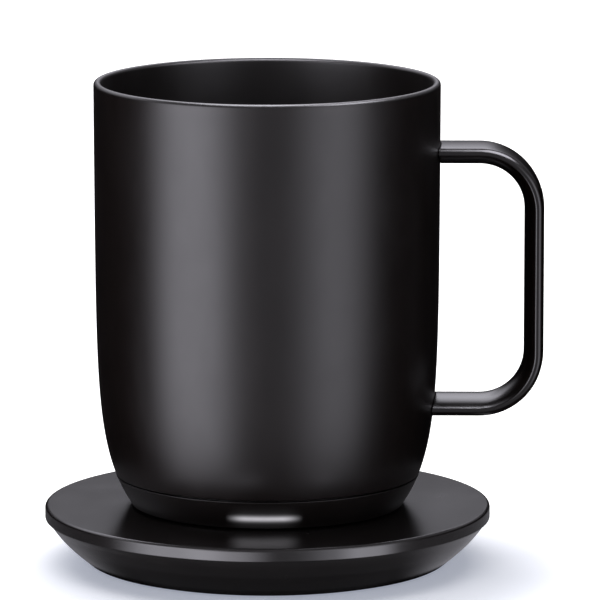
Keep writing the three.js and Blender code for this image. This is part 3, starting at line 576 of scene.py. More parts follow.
def circuit_board():
    n = Nodes("circuit_board")
    track = n.add("ShaderNodeTexBrick", {
        "Vector": n.place, "Scale": 180.0, "Mortar Size": 0.012, "Mortar Smooth": 0.3,
        "Brick Width": 0.7, "Row Height": 0.22,
    }).outputs["Fac"]
    pads = n.ramp(n.cells(scale=420.0), 0.16, 0.2, 1.0, 0.0)
    green = n.mix(n.noise(scale=300.0), rgb(0.008, 0.055, 0.022), rgb(0.014, 0.085, 0.034))
    lines = n.mix(n.math("MULTIPLY", track, 0.7), green, rgb(0.03, 0.17, 0.07))
    n.link(n.mix(pads, lines, rgb(0.62, 0.6, 0.52)), "Base Color")
    n.link(n.ramp(pads, 0.0, 1.0, 0.34, 0.25), "Roughness")
    n.link(n.bump(n.math("ADD", track, pads), strength=0.3, distance=0.04 * MM), "Normal")
    return n.material


def wrapped_cell():
    n = Nodes("battery_cell")
    creases = n.noise(scale=260.0, detail=5.0, roughness=0.65, stretch=(0.4, 1.0, 1.0))
    n.link(n.mix(n.ramp(creases, 0.35, 0.75), rgb(0.016, 0.06, 0.17), rgb(0.035, 0.11, 0.27)), "Base Color")
    n.link(n.ramp(creases, 0.3, 0.7, 0.28, 0.42), "Roughness")
    n.link(n.bump(creases, strength=0.45, distance=0.12 * MM), "Normal")
    return n.material


def foam():
    n = Nodes("insulation_foam")
    cells = n.cells(scale=1500.0)
    n.link(n.mix(n.ramp(cells, 0.1, 0.7), rgb(0.3, 0.29, 0.27), rgb(0.52, 0.51, 0.48)), "Base Color")
    n.link(n.bump(cells, strength=0.8, distance=0.1 * MM), "Normal")
    n.set(Roughness=0.92, Specular_IOR_Level=0.2)
    return n.material


def add_glow(n):
    """Light of the lamps behind the band: brightest on its line, gone a few millimetres away."""
    split = n.add("ShaderNodeSeparateXYZ", {"Vector": n.place})
    across = n.math("ABSOLUTE", split.outputs["X"])
    ends = n.ramp(across, GLOW_ENDS[0] * MM, GLOW_ENDS[1] * MM, 1.0, 0.0, interpolation_type="SMOOTHSTEP")
    height = n.math("SUBTRACT", split.outputs["Z"], (MUG_BASE + GLOW_CENTRE) * MM)
    front = n.math("LESS_THAN", split.outputs["Y"], 0.0)

    def bell(width):
        share = n.math("DIVIDE", height, width * MM)
        return n.math("EXPONENT", n.math("MULTIPLY", n.math("MULTIPLY", share, share), -0.5))

    core = n.math("MULTIPLY", bell(GLOW_SPREAD), ends)
    skirt = n.math("MULTIPLY", n.math("MULTIPLY", bell(GLOW_SKIRT * GLOW_SPREAD), ends), GLOW_SKIRT_SHARE)
    grain = n.ramp(n.noise(scale=900.0, detail=2.0), 0.2, 0.8, 0.95, 1.05)
    glow = n.math("MULTIPLY", n.math("MULTIPLY", n.math("ADD", core, skirt), front), grain)
    n.link(glow, "Emission Strength")
    n.shader.inputs["Emission Color"].default_value = GLOW_COLOUR
    return glow


def light_window():
    """Smoked window, dark where no lamp reaches it."""
    n = Nodes("light_window")
    glow = add_glow(n)
    n.link(n.mix(glow, rgb(0.0045, 0.0028, 0.0024), rgb(0.04, 0.04, 0.042)), "Base Color")
    n.link(n.ramp(n.noise(scale=1400.0, detail=2.0), 0.0, 1.0, 0.3, 0.36), "Roughness")
    return n.material


def band_plastic():
    """The band's plastic, with the light's soft edge showing through it."""
    n = coated_nodes(
        "band_plastic", (0.0045, 0.0026, 0.0022), (0.006, 0.0038, 0.0032), 0.3,
        grain_size=0.3, grain_depth=0.008, wear=0.25,
    )
    add_glow(n)
    return n.material


BLACK_COAT = ((0.0036, 0.0016, 0.0012), (0.005, 0.0026, 0.0021))
COATED = coated("coated_steel", *BLACK_COAT, 0.33, grain_size=0.35, grain_depth=0.012)
COATED_BAR = coated("coated_bar", *BLACK_COAT, 0.2, grain_size=0.35, grain_depth=0.012)
BAND = band_plastic()
MOULDED = coated(
    "moulded_plastic", (0.011, 0.0108, 0.011), (0.016, 0.0155, 0.016), 0.5, grain_size=0.28, grain_depth=0.03
)
COASTER = coated(
    "coaster_plastic", (0.0075, 0.0058, 0.0056), (0.0095, 0.0076, 0.0074), 0.22,
    grain_size=0.3, grain_depth=0.012, specular=0.6,
)
FRAME_GREY = coated(
    "frame_plastic", (0.05, 0.05, 0.055), (0.075, 0.075, 0.08), 0.55, grain_size=0.4, grain_depth=0.03
)
RUBBER = rubber("silicone_rubber", (0.011, 0.011, 0.011), (0.05, 0.048, 0.045))
GOLD = metal("gold_contact", (0.83, 0.56, 0.2), (0.6, 0.36, 0.1), 0.24)
STEEL = metal("steel", (0.6, 0.6, 0.6), (0.42, 0.42, 0.43), 0.3)
NICKEL = metal("nickel", (0.66, 0.63, 0.57), (0.48, 0.46, 0.42), 0.3)
ALUMINIUM = metal("aluminium", (0.68, 0.68, 0.69), (0.5, 0.5, 0.51), 0.36, streak=(0.08, 1.0, 1.0))
COPPER = metal("copper", (0.72, 0.33, 0.18), (0.5, 0.2, 0.1), 0.34)
BOARD = circuit_board()
CELL = wrapped_cell()
FOAM = foam()
WINDOW = light_window()
BEAD = coated(
    "sensor_bead", (0.5, 0.47, 0.4), (0.62, 0.58, 0.5), 0.3, grain_size=0.5, grain_depth=0.01, wear=0.1
)
WIRE = rubber("wire_sleeve", (0.26, 0.02, 0.016), (0.36, 0.05, 0.04))

SLOT_MATERIALS = {
    "coated_steel": COATED, "band_plastic": BAND, "light_window": WINDOW, "moulded_plastic": MOULDED,
    "coaster_plastic": COASTER, "frame_plastic": FRAME_GREY, "silicone_rubber": RUBBER, "gold_contact": GOLD,
    "steel": STEEL, "nickel": NICKEL, "aluminium": ALUMINIUM, "copper": COPPER, "circuit_board": BOARD,
    "battery_cell": CELL, "insulation": FOAM, "sensor_bead": BEAD, "wire_sleeve": WIRE,
}

for entry in frame["record"]["subparts"]:
    mesh = frame["nodes"][entry["node"]].data
    mesh.materials.clear()
    mesh.materials.append(SLOT_MATERIALS[entry["material_slot"]])


# Pieces of the mug


def make_shell():
    low = SEAM_HEIGHT + SEAM_GAP
    outline = [
        *arc(mug_radius(low) - SHELL_EDGE, low + SHELL_EDGE, SHELL_EDGE, -90, 0, steps=4)[:-1],
        *mug_curve(low + SHELL_EDGE, LIP_BOTTOM, steps=60),
        *mug_curve(low, LIP_BOTTOM, steps=40, inset=SHELL_WALL)[::-1],
    ]
    finish_mesh("mug_outer_shell", lathe_mesh(lift(outline)), "mug", ["outer_shell"], COATED)


def make_cup():
    lip = LIP_WIDTH / 2
    top = MUG_HEIGHT - lip
    flat = CUP_FOOT_RADIUS - CUP_FILLET
    fillet_top = CUP_FLOOR + CUP_FILLET
    outline = [
        *line((0, CUP_FLOOR), (flat - CUP_FLAT_MARGIN, CUP_FLOOR), steps=8),
        *arc(flat, fillet_top, CUP_FILLET, 270, 360, steps=20),
        *line((CUP_FOOT_RADIUS, fillet_top), (RIM_RADIUS - LIP_WIDTH, top), steps=40)[1:-1],
        *arc(RIM_RADIUS - lip, top, lip, 180, 0, steps=24),
        (mug_radius(LIP_BOTTOM), LIP_BOTTOM),
        (RIM_RADIUS - LIP_WIDTH + SHELL_WALL, LIP_BOTTOM),
        *arc(flat, fillet_top, CUP_FILLET + SHELL_WALL, 360, 270, steps=12),
        (0, CUP_FLOOR - SHELL_WALL),
    ]
    finish_mesh("mug_inner_cup", lathe_mesh(lift(outline)), "mug", ["inner_cup"], COATED)


def handle_section():
    """Points (out, across, normal out, normal across) round the bar, starting at the belly's -Y end."""
    radius = (HANDLE_HALF ** 2 + HANDLE_BELLY ** 2) / (2 * HANDLE_BELLY)
    spread = math.asin(HANDLE_HALF / radius) - HANDLE_ROLL / radius
    belly = []
    for i in range(BELLY_STEPS + 1):
        turn = spread * (2 * i / BELLY_STEPS - 1)
        belly.append((radius - HANDLE_BELLY - radius * math.cos(turn), radius * math.sin(turn)))
    side = []
    for i in range(1, ROLL_STEPS):
        share = i / ROLL_STEPS
        blend = (1 - share) ** 2
        out = belly[-1][0] * blend + HANDLE_EDGE * share ** 2
        across = belly[-1][1] * blend + HANDLE_HALF * (1 - blend)
        side.append((out, across))
    side += [(HANDLE_SIDE / 2, HANDLE_HALF), (HANDLE_SIDE - HANDLE_EDGE, HANDLE_HALF)]
    for i in range(SHOULDER_STEPS + 1):
        turn = math.pi / 2 * i / SHOULDER_STEPS
        side.append((
            HANDLE_SIDE + (HANDLE_CROWN - HANDLE_CAMBER) * math.sin(turn) ** SHOULDER_SHARPNESS,
            HANDLE_HALF - HANDLE_SHOULDER * (1 - math.cos(turn) ** SHOULDER_SHARPNESS),
        ))
    flat = HANDLE_HALF - HANDLE_SHOULDER
    top = []
    for i in range(1, 2 * CROWN_STEPS):
        across = 1 - i / CROWN_STEPS
        top.append((HANDLE_SIDE + HANDLE_CROWN - HANDLE_CAMBER * across ** 2, flat * across))
    ring = belly + side + top + [(out, -across) for out, across in side][::-1]
    found = []
    for i, (out, across) in enumerate(ring):
        before, after = Vector(ring[i - 1]), Vector(ring[(i + 1) % len(ring)])
        along = (after - before).normalized()
        found.append((out, across, along.y, -along.x))
    return found


def make_handle():
    crease = HANDLE_CROWN + HANDLE_SIDE
    reach, bend = HANDLE_REACH - crease, HANDLE_BEND - crease
    top, bottom = HANDLE_TOP - crease, HANDLE_BOTTOM + crease
    section = handle_section()

    def arm(z_line, side):
        """Rings from the wall outwards, cut to the wall's curve and spread into its weld."""
        rings = []
        for distance in ARM_PLACES:
            spread = 0.0
            if distance < HANDLE_WELD:
                near = HANDLE_WELD - max(distance, 0.0)
                spread = HANDLE_WELD - math.sqrt(max(HANDLE_WELD ** 2 - near ** 2, 0.0))
                spread = min(spread, HANDLE_WELD * WELD_SPREAD_SHARE)
            ring = []
            for out, across, normal_out, normal_across in section:
                y = across + normal_across * spread
                z = z_line + side * (out + normal_out * spread)
                wall = math.sqrt(mug_radius(z) ** 2 - y ** 2)
                ring.append((wall + distance, y, z + MUG_BASE))
            rings.append(ring)
        return rings

    def bent(centre_z, side, start, end):
        rings = []
        for i in range(BEND_STEPS + 1):
            turn = math.radians(start + (end - start) * i / BEND_STEPS)
            ring = []
            for out, across, _, _ in section:
                radius = bend + out
                x = reach - bend + radius * math.cos(turn)
                ring.append((x, across, centre_z + side * radius * math.sin(turn) + MUG_BASE))
            rings.append(ring)
        return rings

    span = (top - bend) - (bottom + bend)
    grip = []
    for i in range(1, GRIP_STEPS):
        z = top - bend - span * i / GRIP_STEPS
        grip.append([(reach + out, across, z + MUG_BASE) for out, across, _, _ in section])

    bm = bmesh.new()
    skin_rings(bm, [
        *arm(top, 1),
        *bent(top - bend, 1, 90, 0),
        *grip,
        *bent(bottom + bend, -1, 0, 90),
        *arm(bottom, -1)[::-1],
    ])
    finish_mesh("mug_handle", bm, "mug", ["handle"], COATED_BAR)


def light_prism():
    """Solid ellipse along Y in front of the mug."""
    bm = bmesh.new()
    rings = []
    for y in LIGHT_CUT:
        ring = []
        for i in range(TUBE_ROUND):
            turn = 2 * math.pi * i / TUBE_ROUND
            z = MUG_BASE + LIGHT_CENTRE + LIGHT_HEIGHT / 2 * math.sin(turn)
            ring.append((LIGHT_LENGTH / 2 * math.cos(turn), y, z))
        rings.append(ring)
    skin_rings(bm, rings)
    return bm


def make_band():
    low_radius = mug_radius(BAND_BOTTOM + BAND_FOOT)
    ledge_bottom = LEDGE_TOP - LEDGE_THICKNESS
    spigot_top = SEAM_HEIGHT + SPIGOT_HEIGHT
    outline = [
        (BAND_BORE, BAND_BOTTOM),
        *arc(low_radius - BAND_FOOT, BAND_BOTTOM + BAND_FOOT, BAND_FOOT, -90, -8, steps=6),
        *mug_curve(BAND_BOTTOM + BAND_FOOT, SEAM_HEIGHT - BAND_CROWN, steps=24),
        *arc(mug_radius(SEAM_HEIGHT) - BAND_CROWN, SEAM_HEIGHT - BAND_CROWN, BAND_CROWN, 8, 90, steps=5),
        (SPIGOT_OUTER, SEAM_HEIGHT), (SPIGOT_OUTER, spigot_top),
        (SPIGOT_INNER, spigot_top), (SPIGOT_INNER, LEDGE_TOP),
        (LEDGE_INNER, LEDGE_TOP), (LEDGE_INNER, ledge_bottom),
        (HOLLOW_TOP_RADIUS, ledge_bottom), (HOLLOW_FOOT_RADIUS, BAND_BORE_TOP),
        (BAND_BORE, BAND_BORE_TOP),
    ]
    bm = lathe_mesh(lift(outline))
    band = finish_mesh("mug_base_band", bm, "mug", ["base_ring"], BAND)
    cut(band, [cutter_from(light_prism())])


def make_light_window():
    """Curved window that fills the band's ellipse, with its front on the band's surface."""
    bm = bmesh.new()
    columns, rows = 72, 14
    half_x, half_z = LIGHT_LENGTH / 2 - LIGHT_GAP, LIGHT_HEIGHT / 2 - LIGHT_GAP
    sheets = []
    for depth in (0.0, LIGHT_DEPTH):
        sheet = []
        for i in range(columns + 1):
            turn = math.pi * i / columns
            x = -half_x * math.cos(turn)
            tall = half_z * math.sin(turn)
            column = []
            for k in range(rows + 1):
                z = LIGHT_CENTRE + tall * (2 * k / rows - 1)
                radius = mug_radius(z) - depth
                column.append(bm.verts.new((x, -math.sqrt(radius ** 2 - x ** 2), z + MUG_BASE)))
            sheet.append(column)
        sheets.append(sheet)
    for sheet in sheets:
        for i in range(columns):
            for k in range(rows):
                bm.faces.new((sheet[i][k], sheet[i + 1][k], sheet[i + 1][k + 1], sheet[i][k + 1]))
    front, back = sheets
    for i in range(columns):
        for k in (0, rows):
            bm.faces.new((front[i][k], front[i + 1][k], back[i + 1][k], back[i][k]))
    for i in (0, columns):
        for k in range(rows):
            bm.faces.new((front[i][k], front[i][k + 1], back[i][k + 1], back[i][k]))
    bmesh.ops.remove_doubles(bm, verts=bm.verts, dist=MERGE_DISTANCE)
    bmesh.ops.dissolve_degenerate(bm, edges=bm.edges, dist=SLIVER_DISTANCE)
    finish_mesh("mug_light_window", bm, "mug", ["led_window"], WINDOW)


def make_cover():
    outline = [
        (0, POCKET_TOP), (POCKET_RADIUS - COVER_EDGE, POCKET_TOP),
        *arc(POCKET_RADIUS - COVER_EDGE, POCKET_TOP - COVER_EDGE, COVER_EDGE, 90, 0, steps=4),
        *arc(POCKET_RADIUS + COVER_EDGE, BAND_BOTTOM + COVER_EDGE, COVER_EDGE, 180, 270, steps=4),
        *arc(COVER_RADIUS - COVER_EDGE, BAND_BOTTOM + COVER_EDGE, COVER_EDGE, 270, 360, steps=4),
        (COVER_RADIUS, COVER_TOP), (0, COVER_TOP),
    ]
    cover = finish_mesh(
        "mug_bottom_cover", lathe_mesh(lift(outline), COVER_ROUND), "mug", ["base_cover", "base_seal"],
        MOULDED,
    )
    slot_half = CONTACT_HALF + SLOT_GAP
    cut(cover, [
        ring_cutter(0, BUTTON_RADIUS + BUTTON_GAP, BUTTON_HOLE_TOP, SMALL_ROUND),
        *[ring_cutter(r - slot_half, r + slot_half, CONTACT_SLOT_TOP, SMALL_ROUND) for r in CONTACT_RADII],
        ring_cutter(FOOT_INNER - SLOT_GAP, FOOT_OUTER + SLOT_GAP, FOOT_SLOT_TOP, SLOT_ROUND),
    ])


def make_contacts():
    low, high = CONTACT_BOTTOM, CONTACT_BOTTOM + CONTACT_THICKNESS
    for radius, name in zip(CONTACT_RADII, ("inner", "outer")):
        inner, outer = radius - CONTACT_HALF, radius + CONTACT_HALF
        outline = [
            *arc(inner + CONTACT_EDGE, low + CONTACT_EDGE, CONTACT_EDGE, 180, 270, steps=3),
            *arc(outer - CONTACT_EDGE, low + CONTACT_EDGE, CONTACT_EDGE, 270, 360, steps=3),
            (outer, high), (inner, high),
        ]
        finish_mesh(
            f"mug_contact_{name}", lathe_mesh(lift(outline), CONTACT_ROUND), "mug", [f"contact_ring_{name}"],
            GOLD,
        )


def make_foot():
    outline = [
        *arc(FOOT_INNER + FOOT_EDGE, FOOT_EDGE, FOOT_EDGE, 180, 270, steps=4),
        *arc(FOOT_OUTER - FOOT_EDGE, FOOT_EDGE, FOOT_EDGE, 270, 360, steps=4),
        (FOOT_OUTER, FOOT_TOP), (FOOT_INNER, FOOT_TOP),
    ]
    bm = lathe_mesh(lift(outline), COVER_ROUND)
    finish_mesh("mug_foot", bm, "mug", ["mug_foot_ring"], RUBBER)


def make_button():
    flange = BUTTON_RADIUS + BUTTON_FLANGE
    flange_low, flange_high = BUTTON_FLANGE_HEIGHTS
    outline = [
        *[(radius, BUTTON_FACE + depth) for radius, depth in BUTTON_DISH],
        *arc(BUTTON_RADIUS - BUTTON_EDGE, BUTTON_FACE + BUTTON_EDGE, BUTTON_EDGE, 270, 360, steps=5),
        (BUTTON_RADIUS, flange_low), (flange, flange_low), (flange, flange_high), (0, flange_high),
    ]
    finish_mesh(
        "mug_button", lathe_mesh(lift(outline), SMALL_ROUND), "power_button", ["power_button"],
        MOULDED,
    )


# Pieces of the coaster


def make_coaster_top():
    height, radius = COASTER_HEIGHT, COASTER_RADIUS
    boss_top = height + BOSS_HEIGHT
    dimple_top = boss_top - DIMPLE_DEPTH
    band_low = height - EDGE_BAND
    inner = radius - EDGE_WALL
    dimple_wall = DIMPLE_RADIUS - DIMPLE_DEPTH
    foot_in, foot_up = DIMPLE_FOOT
    outline = [
        (0, PLATE_BOTTOM), (inner, PLATE_BOTTOM), (inner, band_low),
        *arc(radius - EDGE_FOOT, band_low + EDGE_FOOT, EDGE_FOOT, 270, 360, steps=3),
        *line((radius, band_low + 2 * EDGE_FOOT), (radius, height - EDGE_ROUND - 0.05), steps=4),
        *arc(radius - EDGE_ROUND, height - EDGE_ROUND, EDGE_ROUND, 0, 90, steps=12),
        *line((radius - EDGE_ROUND - 0.3, height), (BOSS_RADIUS + BOSS_FOOT + 0.2, height), steps=14),
        *arc(BOSS_RADIUS + BOSS_FOOT, height + BOSS_FOOT, BOSS_FOOT, 270, 180, steps=4),
        *arc(BOSS_RADIUS - BOSS_ROUND, boss_top - BOSS_ROUND, BOSS_ROUND, 0, 90, steps=8),
        *line((BOSS_RADIUS - BOSS_ROUND - 0.2, boss_top), (DIMPLE_RADIUS + 0.4, boss_top), steps=6),
        *arc(DIMPLE_RADIUS + 0.2, boss_top - DIMPLE_LIP, DIMPLE_LIP, 90, 145, steps=4),
        (dimple_wall, dimple_top + foot_up), (dimple_wall - foot_in, dimple_top),
        *line((DIMPLE_RADIUS - 1.2, dimple_top), (0, dimple_top), steps=4),
    ]
    plate = finish_mesh(
        "coaster_plate", lathe_mesh(outline), "coaster", ["coaster_top"], COASTER
    )
    bottom, flare_low, flare_high, top = PIN_HOLE_HEIGHTS
    bore, mouth = PIN_RADIUS + PIN_HOLE_GAP, PIN_RADIUS + PIN_HOLE_FLARE
    hole = [(0, bottom), (bore, bottom), (bore, flare_low), (mouth, flare_high), (mouth, top), (0, top)]
    cut(plate, [cutter_from(lathe_mesh(hole, PIN_ROUND, (x, 0.0))) for x, _ in PIN_PLACES])


def bowl_point(climb, inset=0.0):
    radius = BOWL_FOOT + (BOWL_RIM - BOWL_FOOT) * climb + BOWL_BULGE * math.sin(math.pi * climb)
    return radius - inset, BOWL_BOTTOM + (BOWL_TOP - BOWL_BOTTOM) * climb


def make_coaster_base():
    inside_steps = 10
    outside = [bowl_point(i / BOWL_STEPS) for i in range(1, BOWL_STEPS)]
    inside = [bowl_point(i / inside_steps, BOWL_WALL) for i in range(inside_steps, 1, -1)]
    floor_bottom, floor_top = BOWL_FLOOR
    slot = PAD_RADIUS + PAD_GAP
    outline = [
        (0, floor_bottom), (slot, floor_bottom), (slot, PAD_SLOT_TOP),
        *arc(slot + PAD_SLOT_ROUND, PAD_SLOT_TOP, PAD_SLOT_ROUND, 180, 270, steps=3),
        (BOWL_FOOT - 0.35, BOWL_BOTTOM), (BOWL_FOOT - 0.1, BOWL_BOTTOM + 0.04),
        *outside,
        (BOWL_RIM - 0.08, BOWL_TOP - 0.06), (BOWL_RIM - 0.25, BOWL_TOP),
        *inside,
        (BOWL_FOOT - 1.3, floor_top), (0, floor_top),
    ]
    bowl = finish_mesh(
        "coaster_bowl", lathe_mesh(outline), "coaster", ["coaster_base"], COASTER
    )
    radius, near, far = GLAND_HOLE
    bm = lathe_mesh([(0, near), (radius, near), (radius, far), (0, far)], TUBE_ROUND)
    lay_along_y(bm)
    cut(bowl, [cutter_from(bm)])


def make_coaster_pad():
    outline = [
        (0, 0), *line((20, 0), (PAD_RADIUS - PAD_EDGE, 0), steps=2)[:-1],
        *arc(PAD_RADIUS - PAD_EDGE, PAD_EDGE, PAD_EDGE, 270, 360, steps=5),
        (PAD_RADIUS, PAD_TOP), (0, PAD_TOP),
    ]
    bm = lathe_mesh(outline)
    finish_mesh("coaster_foot_pad", bm, "coaster", ["coaster_pad"], RUBBER)


def make_gland():
    low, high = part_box("cable_gland")
    back, front = low.y / MM, high.y / MM
    bore, neck, flange = GLAND_RADII
    inner_round, outer_round = GLAND_ROUNDS
    outline = [
        (bore, back), (flange, back), (flange, back + GLAND_FLANGE), (neck, back + GLAND_FLANGE),
        (neck, front - neck),
        *arc(neck - outer_round, front - outer_round, outer_round, 0, 90, steps=5),
        *arc(bore + inner_round, front - inner_round, inner_round, 90, 180, steps=4),
    ]
    bm = lathe_mesh(outline, TUBE_ROUND)
    lay_along_y(bm)
    finish_mesh("coaster_cable_gland", bm, "coaster", ["cable_gland"], RUBBER)


def make_pins():
    for x, name in PIN_PLACES:
        low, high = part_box(f"pin_barrel_{name}")
        bottom, top = low.z / MM, high.z / MM
        barrel = [
            (0, bottom), (BARREL_RADIUS, bottom),
            *[(radius, top - depth) for radius, depth in BARREL_TOP],
            (BARREL_BORE, bottom + BARREL_FLOOR), (0, bottom + BARREL_FLOOR),
        ]
        bm = lathe_mesh(barrel, PIN_ROUND, (x, 0.0))
        finish_mesh(f"charge_barrel_{name}", bm, "coaster", [f"pin_barrel_{name}"], NICKEL)
        low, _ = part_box(f"contact_pin_{name}")
        foot = low.z / MM
        (foot_radius, foot_height), (collar_radius, collar_height) = PIN_FOOT, PIN_COLLAR
        pin = [
            (0, foot), (foot_radius, foot), (foot_radius, foot + foot_height),
            (collar_radius, foot + foot_height), (collar_radius, foot + collar_height),
            (PIN_RADIUS, foot + collar_height),
            *arc(0, PIN_TIP - PIN_RADIUS, PIN_RADIUS, 0, 90, steps=10),
        ]
        finish_mesh(
            f"charge_pin_{name}", lathe_mesh(pin, PIN_ROUND, (x, 0.0)), f"contact_pin_{name}",
            [f"contact_pin_{name}"], GOLD,
        )


def make_springs():
    """Wound springs below the pins."""
    steps = SPRING_STEPS * SPRING_TURNS
    closed = SPRING_CLOSED_TURNS / SPRING_TURNS
    half = SPRING_WIRE / 2
    for x, name in PIN_PLACES:
        low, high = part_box(f"pin_spring_{name}")
        bottom, top = low.z / MM + half, high.z / MM - half
        radius = (high.y - low.y) / MM / 2 - half
        rings = []
        for i in range(steps + 1):
            share = i / steps
            climb = min(max((share - closed) / (1 - 2 * closed), 0.0), 1.0)
            turn = 2 * math.pi * SPRING_TURNS * share
            z = bottom + (top - bottom) * climb
            ring = []
            for k in range(SPRING_SIDES):
                around = 2 * math.pi * k / SPRING_SIDES
                out = radius + half * math.cos(around)
                ring.append((x + out * math.cos(turn), out * math.sin(turn), z + half * math.sin(around)))
            rings.append(ring)
        bm = bmesh.new()
        skin_rings(bm, rings)
        spring = finish_mesh(f"charge_spring_{name}", bm, "coaster", [f"pin_spring_{name}"], STEEL)
        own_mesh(spring)


make_shell()
make_cup()
make_handle()
make_band()
make_light_window()
make_cover()
make_contacts()
make_foot()
make_button()
make_coaster_top()
make_coaster_base()
make_coaster_pad()
make_gland()
make_pins()
make_springs()


# Stage: world, floor, cards, lamp and camera


def stage_object(name, bm, material, **seen):
    """Object of the stage that only the named kinds of ray see."""
    bmesh.ops.scale(bm, vec=(MM, MM, MM), verts=bm.verts)
    mesh = to_mesh(name, bm)
    mesh.materials.append(material)
    thing = link_object(name, mesh)
    for ray in ("camera", "diffuse", "glossy", "transmission", "volume_scatter", "shadow"):
        setattr(thing, f"visible_{ray}", seen.get(ray, False))


class StageNodes:
    """Short calls for the node tree of the world, the floor or a card."""

    def __init__(self, tree):
        self.nodes, self.links = tree.nodes, tree.links

    def feed(self, value, socket):
        if isinstance(value, bpy.types.NodeSocket):
            self.links.new(value, socket)
        else:
            socket.default_value = value

    def maths(self, operation, *values):
        node = self.nodes.new("ShaderNodeMath")
        node.operation = operation
        for value, socket in zip(values, node.inputs):
            self.feed(value, socket)
        return node.outputs[0]

    def sum(self, *values):
        total = values[0]
        for value in values[1:]:
            total = self.maths("ADD", total, value)
        return total

    def fade(self, value, span, first, last, kind="SMOOTHSTEP"):
        """From first to last as value goes over the span."""
        node = self.nodes.new("ShaderNodeMapRange")
        node.interpolation_type = kind
        self.feed(value, node.inputs["Value"])
        numbers = {"From Min": span[0], "From Max": span[1], "To Min": first, "To Max": last}
        for key, number in numbers.items():
            node.inputs[key].default_value = number
        return node.outputs[0]

    def place(self):
        return self.nodes.new("ShaderNodeTexCoord").outputs["Object"]

    def distance(self, x, y, z=0.0):
        """Distance of the shaded place from a point in millimetres."""
        node = self.nodes.new("ShaderNodeVectorMath")
        node.operation = "DISTANCE"
        self.feed(self.place(), node.inputs[0])
        node.inputs[1].default_value = (x * MM, y * MM, z * MM)
        return node.outputs["Value"]

    def light_path(self, output):
        return self.nodes.new("ShaderNodeLightPath").outputs[output]

    def background_share(self):
        """1 for the rays that should see the background as it is: camera, glossy and transmission rays."""
        seen = self.maths("MAXIMUM", self.light_path("Is Camera Ray"), self.light_path("Is Glossy Ray"))
        return self.maths("MAXIMUM", seen, self.light_path("Is Transmission Ray"))


class CardNodes(StageNodes):
    """The same for a card, with the azimuth and the height of the shaded place."""

    def __init__(self, tree):
        super().__init__(tree)
        split = self.nodes.new("ShaderNodeSeparateXYZ")
        self.feed(self.place(), split.inputs[0])
        forward = self.maths("MULTIPLY", split.outputs["Y"], -1.0)
        self.azimuth = self.maths("ARCTAN2", split.outputs["X"], forward)
        self.height = split.outputs["Z"]

    def angle_fade(self, value, span, first, last):
        return self.fade(value, [math.radians(angle) for angle in span], first, last)

    def height_fade(self, span, first=0.0, last=1.0):
        return self.fade(self.height, [z * MM for z in span], first, last)

    def light_about(self, centre, full, end, brightness):
        """Light that is full near an azimuth and fades to both sides."""
        away = self.maths("ABSOLUTE", self.maths("SUBTRACT", self.azimuth, math.radians(centre)))
        return self.angle_fade(away, (full, end), brightness, 0.0)


def make_world():
    world = bpy.data.worlds.new("studio")
    bpy.context.scene.world = world
    world.use_nodes = True
    n = StageNodes(world.node_tree)
    background = n.nodes["Background"]
    background.inputs["Color"].default_value = WHITE
    strength = n.fade(n.background_share(), (0.0, 1.0), WORLD_LIGHT, 1.0, "LINEAR")
    n.feed(strength, background.inputs["Strength"])


def make_floor():
    material = bpy.data.materials.new("studio_floor")
    material.use_nodes = True
    n = StageNodes(material.node_tree)
    shader = n.nodes["Principled BSDF"]
    shader.inputs["Base Color"].default_value = FLOOR_COLOUR
    shader.inputs["Roughness"].default_value = FLOOR_ROUGHNESS
    shader.inputs["Specular IOR Level"].default_value = 0.0
    # The floor's own light is lowest and bluish near FLOOR_CENTRE: painted shade round the object, added to
    # the lamp's real shadow
    spread = n.fade(n.distance(*FLOOR_CENTRE), (FLOOR_NEAR * MM, FLOOR_FAR * MM), FLOOR_LIFT, 1.0)
    tint = n.nodes.new("ShaderNodeMix")
    tint.data_type = "RGBA"
    for index, value in ((0, spread), (6, FLOOR_SHADOW_TINT), (7, WHITE)):
        n.feed(value, tint.inputs[index])
    n.feed(tint.outputs[2], shader.inputs["Emission Color"])
    n.feed(n.maths("MULTIPLY", n.background_share(), spread), shader.inputs["Emission Strength"])
    bm = lathe_mesh([(radius, 0) for radius in FLOOR_RINGS], SMALL_ROUND, closed=False)
    stage_object("studio_floor", bm, material, camera=True, diffuse=True, shadow=True)


def emission_card(name, strength, clear=False):
    """Material of a card that shows only in reflections. strength gives a number or an output of its nodes.

    A clear card adds its light to what lies behind it.
    """
    material = bpy.data.materials.new(name)
    material.use_nodes = True
    nodes = material.node_tree.nodes
    nodes.remove(nodes["Principled BSDF"])
    n = CardNodes(material.node_tree)
    glow = nodes.new("ShaderNodeEmission")
    glow.inputs["Color"].default_value = CARD_TINT
    n.feed(strength(n), glow.inputs["Strength"])
    shown = glow.outputs[0]
    if clear:
        both = nodes.new("ShaderNodeAddShader")
        n.feed(shown, both.inputs[0])
        n.feed(nodes.new("ShaderNodeBsdfTransparent").outputs[0], both.inputs[1])
        shown = both.outputs[0]
    n.feed(shown, nodes["Material Output"].inputs["Surface"])
    return material


